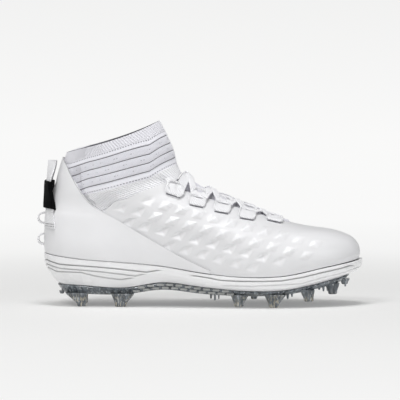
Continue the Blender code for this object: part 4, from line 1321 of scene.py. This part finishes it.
def build_laces():
    lace = looks()["lace"]
    last = len(LOOP_PLACES) - 1
    lifts = [float(loop_lift(place, 0.0)) for place in LOOP_PLACES]

    def mouth(number, side, towards_toe):
        """Where the lace comes out of a loop."""
        x = LENGTH * LOOP_PLACES[number].along + LACE_SPREAD * towards_toe
        return x, side * (throat_run(x, side) + LACE_MOUTH)

    for number, place in enumerate(LOOP_PLACES, 1):
        lift = float(loop_lift(place, PASS_DROP))
        for side, word in SIDES:
            x = LENGTH * place.along
            ends = [(x + end - place.lean * PASS_DROP, side * (throat_run(x + end, side) + PASS_DROP))
                    for end in (-PASS_HALF, PASS_HALF)]
            finish_piece(lace_strip("flat_lace_pass_%s_%d" % (word, number), *ends, (lift, lift)), lace, "lace")
    bar = lace_strip("flat_lace_bar", mouth(last, -1, 0.4), mouth(last, 1, 0.4), (lifts[last], lifts[last]))
    finish_piece(bar, lace, "lace", "lace_bar")
    for number in range(last):
        after = number + 1
        name = "flat_lace_%d_" % after
        ends = (lifts[number], lifts[after])
        under = lace_strip(name + "under", mouth(number, -1, 1), mouth(after, 1, -1), ends)
        over = lace_strip(name + "over", mouth(after, -1, -1), mouth(number, 1, 1), ends[::-1], hump=1)
        finish_piece(under, lace, "lace", "lace_cross_%d" % after)
        finish_piece(over, lace, "lace")


def strap_leg(levels, out, beyond, columns):
    """The strap's outer face across one leg at each level, moved out and widened past its edges."""
    at = column(STRAP_ROWS, "level")
    stand_off, back, front = (np.interp(levels, at, column(STRAP_ROWS, name)) for name in StrapRow._fields[1:])
    clear = OVERLAY_FIT + COUNTER_WALL + FIT + STRAP_WALL + stand_off + out
    share = np.linspace(0, 1, columns)[None, :]
    grid = on_last(back[:, None] * (1 - share) + front[:, None] * share, levels[:, None], clear[:, None])
    way = grid[:, -1] - grid[:, 0]
    way = way / np.linalg.norm(way, axis=-1, keepdims=True)
    spread = np.linspace(-1, 1, columns)[None, :, None] * beyond
    return grid + way[:, None, :] * spread


def build_strap():
    columns = 9
    leg = strap_leg(np.linspace(STRAP_ROWS[0].level, STRAP_ROWS[-1].level, 48), 0, 0, columns)
    start = leg[-1]
    arch = []
    edges = LENGTH * np.linspace(*STRAP_ARCH_EDGES, columns)
    for turn in np.linspace(0, math.pi / 2, 22)[1:]:
        rise = math.sin(turn)
        x = start[:, 0] + (edges - start[:, 0]) * rise
        z = start[:, 2] + (WHOLE_HEIGHT * STRAP_TOP - start[:, 2]) * rise
        arch.append(np.column_stack([x, start[:, 1] * math.cos(turn), z]))
    side = np.concatenate([leg, np.array(arch)])
    made = lay_grid("pull_strap", np.concatenate([side, side[-2::-1] * [1, -1, 1]]))
    wall(made, STRAP_WALL, soft=0.0004)
    finish_piece(made, looks()["webbing"], "heel_strap", "heel_strap")

    levels = np.linspace(*SLEEVE_LEVELS, 30)

    def ring(gap):
        """The sleeve's face round the leg at a gap from it, level by level."""
        front = strap_leg(levels, gap, gap, columns)
        back = strap_leg(levels, -STRAP_WALL - gap, gap, columns)[:, ::-1]
        return np.concatenate([front, back, front[:, :1]], axis=1)

    outer = ring(SLEEVE_WALL + FIT)
    sleeve = np.concatenate([outer, ring(FIT)[::-1], outer[:1]])
    for side, word in SIDES:
        tube = lay_grid("rubber_sleeve_" + word, sleeve * [1, -side, 1], solid=True)
        soften(tube, 0.0004, angle=40)
        finish_piece(tube, looks()["rubber"], "strap_sleeve", "strap_sleeve_" + word)


def back_point(height, offset):
    """x of a point on the centre back at a height."""
    levels = np.linspace(0, 1, EDGE_STEPS + 1)
    back = on_last(0, levels, np.array(offset))
    return np.interp(height, back[:, 2], back[:, 0])


def build_tabs():
    for tab in TABS:
        top = WHOLE_HEIGHT * tab.top
        bottom = WHOLE_HEIGHT * tab.bottom
        share = np.linspace(0, 1, 40)
        z = bottom + (top - bottom) * (0.5 - 0.5 * np.cos(math.pi * share))
        bulge = np.sin(math.pi * share)
        x = back_point(z, OVERLAY_FIT + COUNTER_WALL + FIT) * (1 - bulge) - TAB_REACH * bulge
        across = np.linspace(0.5, -0.5, 9) * TAB_WIDTH
        points = np.stack(np.broadcast_arrays(x[:, None], across[None, :], z[:, None]), -1)
        made = lay_grid(tab.name, points)
        wall(made, TAB_WALL, soft=0.0003)
        finish_piece(made, looks()["webbing"], "heel_webbing", tab.node)


def bag_rows(loops):
    """Loops closed at both ends by drawing the first and the last one in to the middle line."""
    shares = np.arange(BAG_ROWS) / BAG_ROWS

    def drawn_in(loop, order):
        middle = (loop + loop[::-1]) / 2
        return [middle + (loop - middle) * share for share in order]

    return np.array([*drawn_in(loops[0], shares), *loops, *drawn_in(loops[-1], shares[::-1])])


def sole_loop(u, inset, height):
    plan = sole_outline(u, inset)
    return np.column_stack([plan, height(plan[:, 0])])


def sole_stations(count):
    return np.linspace(0, 1, count + 1)


def side_place(u, share):
    """Inset, height and groove of the plate's side at a share of the way down its rows."""
    order = range(len(SIDE_ROWS))
    at = share * order[-1]
    heel_drop, fore_drop, tuck = (np.interp(at, order, column(SIDE_ROWS, name)) for name in SideRow._fields)

    def height(x):
        seam = sole_line("seam", x)
        fore = np.clip((x / LENGTH - 0.3) / 0.3, 0, 1)
        return seam - (seam - sole_line("plate_bottom", x)) * (heel_drop + (fore_drop - heel_drop) * fore)

    x = LENGTH * outlines(u)[0]
    z = height(x)
    groove = np.zeros(u.shape)
    for cut in GROOVES:
        places = np.array(cut.points)
        line = np.interp(x, places[:, 0], places[:, 1])
        fade = smooth(1 - np.maximum(places[0, 0] - x, x - places[-1, 0]) / GROOVE_FADE)
        if places[0, 0] < HEEL_GROOVES_FROM:
            fade = np.where(x < HEEL_GROOVES_FROM, 1, fade)
        groove = np.maximum(groove, cut.depth * fade * np.exp(-(((z - line) / GROOVE_HALF_WIDTH) ** 2)))
    depth = bpy.context.scene.boot_sizes.groove_depth
    return undercut(u) * tuck + depth * groove, height, groove


def build_plate():
    u = sole_stations(400)
    loops = []
    grooves = []
    for share in np.linspace(1, 0, 80):
        inset, height, groove = side_place(u, share)
        loops.append(sole_loop(u, inset, height))
        grooves.append(groove)
    loops.append(sole_loop(u, np.full(u.shape, 0.0005), lambda x: sole_line("seam", x) + 0.0002))
    loops.append(sole_loop(u, np.full(u.shape, CUP_RIM), lambda x: sole_line("seam", x)))
    for share in np.linspace(0, 1, 6)[1:]:
        inset = CUP_RIM + (footbed_inset(u) - CUP_RIM) * share
        loops.append(sole_loop(u, inset, lambda x, s=share: sole_line("seam", x) * (1 - s) + footbed_height(x) * s))
    points = bag_rows(loops)
    # The groove values also paint shade into the grooves, in the look.
    line = np.zeros(points.shape[:2])
    line[BAG_ROWS : BAG_ROWS + len(grooves)] = grooves
    made = lay_grid("moulded_sole_plate", points, solid=True, line=line)
    finish_piece(made, looks()["plate"], "sole_plate", "sole_plate")


def build_liner():
    u = sole_stations(240)
    low = footbed_inset(u) + FIT
    high = footbed_inset(u) - CUP_WALL / 4 + FIT
    loops = [sole_loop(u, low, lambda x: footbed_height(x) + FIT)]
    for share, inward in ((0.5, 0.0), (0.85, 0.0002), (1.0, 0.0010)):
        inset = low + (high - low) * share + inward
        loops.append(sole_loop(u, inset, lambda x, s=share: footbed_height(x) + FIT + INSOLE_THICKNESS * s))
    made = lay_grid("sock_liner", bag_rows(loops), solid=True)
    finish_piece(made, looks()["liner"], "insole", "insole")


def stud_form(stud):
    """A tapered stud with a flared root and a softened flat tip, as a closed solid."""
    side = stud.side if stud.side else 1
    middle = LENGTH * (stud.root_from + stud.root_to) / 2
    tip_middle = LENGTH * (stud.tip_from + stud.tip_to) / 2
    y = centre_y(middle) + side * HALF_WIDTH * stud.across
    top = sole_line("outsole_bottom", middle) + STUD_ROOT
    tip = SOLE_HEIGHT * stud.tip_height
    turn = np.linspace(0, 2 * np.pi, 73)
    flutes = 1 - STUD_FLUTE_DEPTH * (1 + np.cos(STUD_FLUTES * turn)) / 2
    ring_y, ring_x = (wave * flutes for wave in squared_turn(turn, squareness=4.5))
    rows = [np.column_stack([middle + ring_x * 0, y + ring_y * 0, np.full(turn.shape, top)])]
    for drop in np.linspace(0.0, 1.0, 14):
        flare = smooth(drop) ** 0.75
        long = LENGTH * ((stud.root_to - stud.root_from) * (1 - flare) + (stud.tip_to - stud.tip_from) * flare) / 2
        wide = HALF_WIDTH * (stud.root_width * (1 - flare) + stud.tip_width * flare) / 2
        x = middle + (tip_middle - middle) * flare
        z = top + (tip + STUD_TIP_SOFT - top) * drop
        rows.append(np.column_stack([x + ring_x * long, y + ring_y * wide, np.full(turn.shape, z)]))
    base = rows[-1]
    centre = np.array([tip_middle, y, tip])
    drawn = STUD_TIP_SOFT * 10 / (base[:, 0].max() - base[:, 0].min())
    for rise, inward in STUD_TIP_RINGS:
        shrink = 1 - inward * (1 if inward == 1 else drawn)
        ring = centre + (base - centre) * [shrink, shrink, 0]
        ring[:, 2] = tip + STUD_TIP_SOFT * rise
        rows.append(ring)
    return lay_grid("stud", np.array(rows), solid=True)


def pad_form(x, lift, side):
    """A small rounded pad on the outsole's edge under the arch."""
    u = math.acos(1 - 2 * x / LENGTH) / (2 * math.pi)
    at = np.array([u if side < 0 else 1 - u])
    level = sole_line("outsole_bottom", x) * (1 - lift) + sole_line("plate_bottom", x) * lift
    inset = undercut(at) + OUTSOLE_BEVEL * (1 - lift) * 1.1 - 0.0004
    place = sole_outline(at, inset)[0]
    ahead = sole_outline(at + 1e-3, inset)[0]
    bpy.ops.object.select_all(action="DESELECT")
    bpy.ops.mesh.primitive_cube_add(size=1, location=(*(place + PLACE[:2]), level))
    pad = bpy.context.object
    pad.scale = PAD_SIZE
    pad.rotation_euler = (0, 0, math.atan2(ahead[1] - place[1], ahead[0] - place[0]))
    settle(pad)
    modify(pad, "BEVEL", width=0.0010, segments=4, limit_method="NONE")
    return pad


def tooth_form(tooth):
    """A small tapered tooth let into the outsole."""
    y = centre_y(tooth.x) + tooth.side * HALF_WIDTH * tooth.across
    top = sole_line("outsole_bottom", tooth.x) + STUD_ROOT
    bpy.ops.object.select_all(action="DESELECT")
    bpy.ops.mesh.primitive_cone_add(
        vertices=12, radius1=tooth.width * 0.32, radius2=tooth.width * 0.55, depth=top - tooth.tip,
        location=(tooth.x + PLACE[0], y + PLACE[1], (top + tooth.tip) / 2))
    form = bpy.context.object
    settle(form)
    soften(form, 0.0003)
    return form


def build_outsole():
    u = sole_stations(300)
    low = undercut(u) + OUTSOLE_BEVEL
    edge = undercut(u) * OUTSOLE_TUCK

    def lean(share):
        return lambda x: sole_line("outsole_bottom", x) * (1 - share) + sole_line("plate_bottom", x) * share

    def under_plate(gap):
        return lambda x: sole_line("plate_bottom", x) - FIT - OUTSOLE_EDGE * gap

    def wall_height(share):
        return lambda x: lean(OUTSOLE_LEAN)(x) * (1 - share) + under_plate(1)(x) * share

    loops = [sole_loop(u, low + OUTSOLE_BEVEL * k, lean(0.0)) for k in (2.2, 1.0, 0.8)]
    loops.append(sole_loop(u, low + OUTSOLE_BEVEL * 0.35, lean(OUTSOLE_LEAN * 0.35)))
    loops.append(sole_loop(u, low, lean(OUTSOLE_LEAN)))
    loops.extend(sole_loop(u, low + (edge - low) * share, wall_height(share)) for share in (0.35, 0.7, 1.0))
    loops.append(sole_loop(u, edge + 0.0003, under_plate(0.4)))
    loops.append(sole_loop(u, undercut(u) + FIT, under_plate(0)))
    made = lay_grid("clear_outsole", bag_rows(loops), solid=True)
    for stud in STUDS:
        form = stud_form(stud)
        modify(made, "BOOLEAN", operation="UNION", solver="MANIFOLD", object=form)
        bpy.data.objects.remove(form)
    finish_piece(made, looks()["clear"], "outsole", "outsole")
    finish_piece(joined("outsole_teeth", [tooth_form(tooth) for tooth in TEETH]), looks()["clear"], "outsole")
    pads = [pad_form(PAD_START + number * PAD_STEP, PAD_LIFTS[number % 2], side)
            for side, _ in SIDES for number in range(PAD_COUNT)]
    finish_piece(joined("outsole_pads", pads), looks()["pads"], "outsole")


def build_stitches():
    """Rows of short stitches where the strap's ends are sewn to the counter."""
    stitches = []
    for side, _ in SIDES:
        for level in STITCH_LEVELS:
            leg = strap_leg(np.array([level]), 0.0001, 0, 9)[0] * [1, -side, 1]
            for first, second in zip(leg[1:-1], leg[2:]):
                way = second - first
                bpy.ops.object.select_all(action="DESELECT")
                bpy.ops.mesh.primitive_uv_sphere_add(
                    segments=10, ring_count=6, radius=STITCH_RADIUS, location=tuple((first + second) / 2 + PLACE))
                stitch = bpy.context.object
                stitch.scale = (np.linalg.norm(way) * 0.36 / STITCH_RADIUS, 1, 1)
                stitch.rotation_euler = (0, 0, math.atan2(way[1], way[0]))
                settle(stitch)
                stitches.append(stitch)
    finish_piece(joined("strap_stitches", stitches), looks()["thread"], "heel_strap")


# ---- the studio ----


def build_floor():
    """The paper, flat under the boot and swept up all round."""
    colours = bpy.context.scene.boot_colours
    turn = np.linspace(0, 2 * np.pi, 97)
    profile = [(radius, 0.0) for radius in FLOOR_RADII]
    for angle in np.linspace(0, math.pi / 2, 10)[1:]:
        profile.append((FLOOR_RADII[-1] + FLOOR_SWEEP * math.sin(angle), FLOOR_SWEEP * (1 - math.cos(angle))))
    rows = [np.column_stack([r * np.cos(turn), r * np.sin(turn), np.full(turn.shape, z)]) for r, z in profile]
    floor = lay_grid("studio_floor", np.array(rows)[::-1] - PLACE, close=True)
    look = Look("studio_paper", colours.floor, 0.9)
    look.set(Emission_Color=(1, 1, 0.995, 1), Specular_IOR_Level=0.05)
    fine = place_group(look.tree, grain_group(), look.vector("Object"), Grain_Scale=300)
    look.bump(fine.outputs["Grain"], 0.00002)

    # The camera sees an even glow on the paper beyond the boot, and a faint one under it; the boot is lit from it too.
    camera_ray = look.tree.nodes.new("ShaderNodeLightPath").outputs["Is Camera Ray"]
    distance = vector_node(look.tree, "LENGTH", look.vector("Object"))
    far = look.between(distance, 0.12, 0.85)
    far.node.interpolation_type = "SMOOTHSTEP"
    high = look.between(look.height(), 0.02, 0.75, last=0.11)
    near = look.between(distance, 1.4, 0.6, last=0.06)
    level = look.math("SUBTRACT", look.math("SUBTRACT", 0.935, high), near)
    glow = look.math("ADD", look.times(far, level), look.times(look.rest(far), 0.22))
    bounce = look.times(look.rest(camera_ray), FLOOR_BOUNCE)
    look.drive("Emission Strength", look.math("ADD", look.times(glow, camera_ray), bounce))
    look.tint(look.times(far, camera_ray), (0.01, 0.01, 0.01))
    floor.data.materials.append(look.done())
    floor.data.shade_smooth()


def build_dome():
    """An even light from all round, behind which the camera sees the backdrop's pale grey."""
    world = bpy.data.worlds.new("soft_studio")
    bpy.context.scene.world = world
    world.use_nodes = True
    nodes = world.node_tree.nodes
    links = world.node_tree.links
    dome = nodes["Background"]
    dome.inputs["Color"].default_value = (1, 1, 1, 1)
    dome.inputs["Strength"].default_value = DOME_LIGHT
    seen = nodes.new("ShaderNodeBackground")
    seen.inputs["Color"].default_value = (0.85, 0.85, 0.845, 1)
    mix = nodes.new("ShaderNodeMixShader")
    path = nodes.new("ShaderNodeLightPath")
    for output, socket in ((path.outputs["Is Camera Ray"], mix.inputs[0]), (dome.outputs[0], mix.inputs[1]),
                           (seen.outputs[0], mix.inputs[2]), (mix.outputs[0], nodes["World Output"].inputs["Surface"])):
        links.new(output, socket)


def add_to_scene(name, data, place, turn):
    made = bpy.data.objects.new(name, data)
    made.location = place
    made.rotation_euler = turn
    bpy.context.scene.collection.objects.link(made)
    return made


def build_stage():
    build_floor()
    build_dome()
    for lamp in LAMPS:
        light = bpy.data.lights.new(lamp.name, "AREA")
        light.size = lamp.size
        light.energy = lamp.power
        light.color = lamp.colour
        aim = np.array(LAMP_AIM) - np.array(lamp.place)
        tilt = math.atan2(math.hypot(aim[0], aim[1]), -aim[2])
        add_to_scene(lamp.name, light, lamp.place, (tilt, 0, math.atan2(aim[1], aim[0]) - math.pi / 2))
    camera = bpy.data.cameras.new("side_camera")
    camera.lens = CAMERA_LENS
    camera.sensor_width = 36
    camera.clip_end = 30
    back = CAMERA_DISTANCE * math.cos(CAMERA_RISE)
    up = CAMERA_DISTANCE * math.sin(CAMERA_RISE)
    place = (CAMERA_AIM[0], -back, CAMERA_AIM[1] + up)
    scene = bpy.context.scene
    scene.camera = add_to_scene("side_camera", camera, place, (math.pi / 2 - CAMERA_RISE, 0, 0))
    scene.view_settings.view_transform = "Standard"


# ---- the add-on ----


class BootSizes(bpy.types.PropertyGroup):
    """Sizes that can be tuned."""

    facet_height: bpy.props.FloatProperty(
        name="Facet Height", description="How far the facets stand out of the shell", default=0.0030,
        unit="LENGTH", precision=5)
    groove_depth: bpy.props.FloatProperty(
        name="Groove Depth", description="Depth of the grooves along the plate", default=0.0015,
        unit="LENGTH", precision=5)
    lace_width: bpy.props.FloatProperty(
        name="Lace Width", description="Width of the flat lace", default=0.0070, unit="LENGTH", precision=5)
    window_width: bpy.props.FloatProperty(
        name="Window Width", description="Width of the opening in a webbing loop", default=0.0108,
        unit="LENGTH", precision=5)
    window_height: bpy.props.FloatProperty(
        name="Window Height", description="Height of the opening in a webbing loop", default=0.0084,
        unit="LENGTH", precision=5)


def colour_property(label, description, default):
    return bpy.props.FloatVectorProperty(
        name=label, description=description, default=default, subtype="COLOR", size=3, min=0, max=1)


class BootColours(bpy.types.PropertyGroup):
    """Colours that can be changed."""

    shell: colour_property("Shell", "Colour of the moulded shell", (0.91, 0.91, 0.925))
    overlay: colour_property("Overlay", "Colour of the smooth heel overlay", (0.89, 0.89, 0.905))
    plate: colour_property("Plate", "Colour of the moulded sole plate", (0.95, 0.95, 0.96))
    knit: colour_property("Knit", "Colour of the collar and tongue", (0.88, 0.875, 0.93))
    webbing: colour_property("Webbing", "Colour of the webbing and lace", (0.95, 0.95, 0.97))
    outsole: colour_property("Outsole", "Tint of the clear outsole", (0.32, 0.36, 0.40))
    liner: colour_property("Liner", "Colour of the sock liner", (0.55, 0.56, 0.58))
    floor: colour_property("Floor", "Colour of the studio paper", (0.62, 0.62, 0.615))


class BOOT_OT_stage(bpy.types.Operator):
    """Lays the floor, and sets the lights and the camera"""

    bl_idname = "boot.stage"
    bl_label = "Studio"

    def execute(self, context):
        build_stage()
        return {"FINISHED"}


class BOOT_OT_plate(bpy.types.Operator):
    """Makes the white moulded plate with its grooves"""

    bl_idname = "boot.plate"
    bl_label = "Sole Plate"

    def execute(self, context):
        build_plate()
        return {"FINISHED"}


class BOOT_OT_outsole(bpy.types.Operator):
    """Makes the clear outsole with its studs, teeth and pads"""

    bl_idname = "boot.outsole"
    bl_label = "Clear Outsole"

    def execute(self, context):
        build_outsole()
        return {"FINISHED"}


class BOOT_OT_liner(bpy.types.Operator):
    """Lays the liner on the plate"""

    bl_idname = "boot.liner"
    bl_label = "Sock Liner"

    def execute(self, context):
        build_liner()
        return {"FINISHED"}


class BOOT_OT_upper(bpy.types.Operator):
    """Makes the shell with its pressed facets"""

    bl_idname = "boot.upper"
    bl_label = "Moulded Upper"

    def execute(self, context):
        build_upper()
        return {"FINISHED"}


class BOOT_OT_overlay(bpy.types.Operator):
    """Lays the smooth film round the heel"""

    bl_idname = "boot.overlay"
    bl_label = "Heel Overlay"

    def execute(self, context):
        build_overlay()
        return {"FINISHED"}


class BOOT_OT_collar(bpy.types.Operator):
    """Makes the ribbed ankle collar"""

    bl_idname = "boot.collar"
    bl_label = "Knit Collar"

    def execute(self, context):
        build_collar()
        return {"FINISHED"}


class BOOT_OT_tongue(bpy.types.Operator):
    """Makes the knitted tongue"""

    bl_idname = "boot.tongue"
    bl_label = "Tongue"

    def execute(self, context):
        build_tongue()
        return {"FINISHED"}


class BOOT_OT_loops(bpy.types.Operator):
    """Makes the webbing loops with their windows"""

    bl_idname = "boot.loops"
    bl_label = "Lace Loops"

    def execute(self, context):
        build_loops()
        return {"FINISHED"}


class BOOT_OT_laces(bpy.types.Operator):
    """Runs the flat lace between the loops"""

    bl_idname = "boot.laces"
    bl_label = "Laces"

    def execute(self, context):
        build_laces()
        return {"FINISHED"}


class BOOT_OT_strap(bpy.types.Operator):
    """Makes the pull strap and its rubber sleeves"""

    bl_idname = "boot.strap"
    bl_label = "Heel Strap"

    def execute(self, context):
        build_strap()
        return {"FINISHED"}


class BOOT_OT_tabs(bpy.types.Operator):
    """Makes the two webbing tabs on the heel"""

    bl_idname = "boot.tabs"
    bl_label = "Back Tabs"

    def execute(self, context):
        build_tabs()
        return {"FINISHED"}


class BOOT_OT_stitches(bpy.types.Operator):
    """Sews the strap's ends down"""

    bl_idname = "boot.stitches"
    bl_label = "Stitches"

    def execute(self, context):
        build_stitches()
        return {"FINISHED"}


OPERATORS = [
    BOOT_OT_stage,
    BOOT_OT_plate,
    BOOT_OT_outsole,
    BOOT_OT_liner,
    BOOT_OT_upper,
    BOOT_OT_overlay,
    BOOT_OT_collar,
    BOOT_OT_tongue,
    BOOT_OT_loops,
    BOOT_OT_laces,
    BOOT_OT_strap,
    BOOT_OT_tabs,
    BOOT_OT_stitches,
]


class BOOT_PT_panel(bpy.types.Panel):
    """Lists the boot's sizes, colours and pieces."""

    bl_label = "Boot"
    bl_idname = "BOOT_PT_panel"
    bl_space_type = "VIEW_3D"
    bl_region_type = "UI"
    bl_category = "Boot"

    def draw(self, context):
        for settings in (context.scene.boot_sizes, context.scene.boot_colours):
            for name in settings.bl_rna.properties.keys():
                if name not in {"rna_type", "name"}:
                    self.layout.prop(settings, name)
        for operator in OPERATORS:
            self.layout.operator(operator.bl_idname)


CLASSES = [BootSizes, BootColours, *OPERATORS, BOOT_PT_panel]


def register():
    for made in CLASSES:
        bpy.utils.register_class(made)
    bpy.types.Scene.boot_sizes = bpy.props.PointerProperty(type=BootSizes)
    bpy.types.Scene.boot_colours = bpy.props.PointerProperty(type=BootColours)


def unregister():
    del bpy.types.Scene.boot_colours
    del bpy.types.Scene.boot_sizes
    for made in reversed(CLASSES):
        bpy.utils.unregister_class(made)


def main():
    register()
    for operator in OPERATORS:
        getattr(bpy.ops.boot, operator.bl_idname.split(".")[1])()


if __name__ == "__main__":
    main()
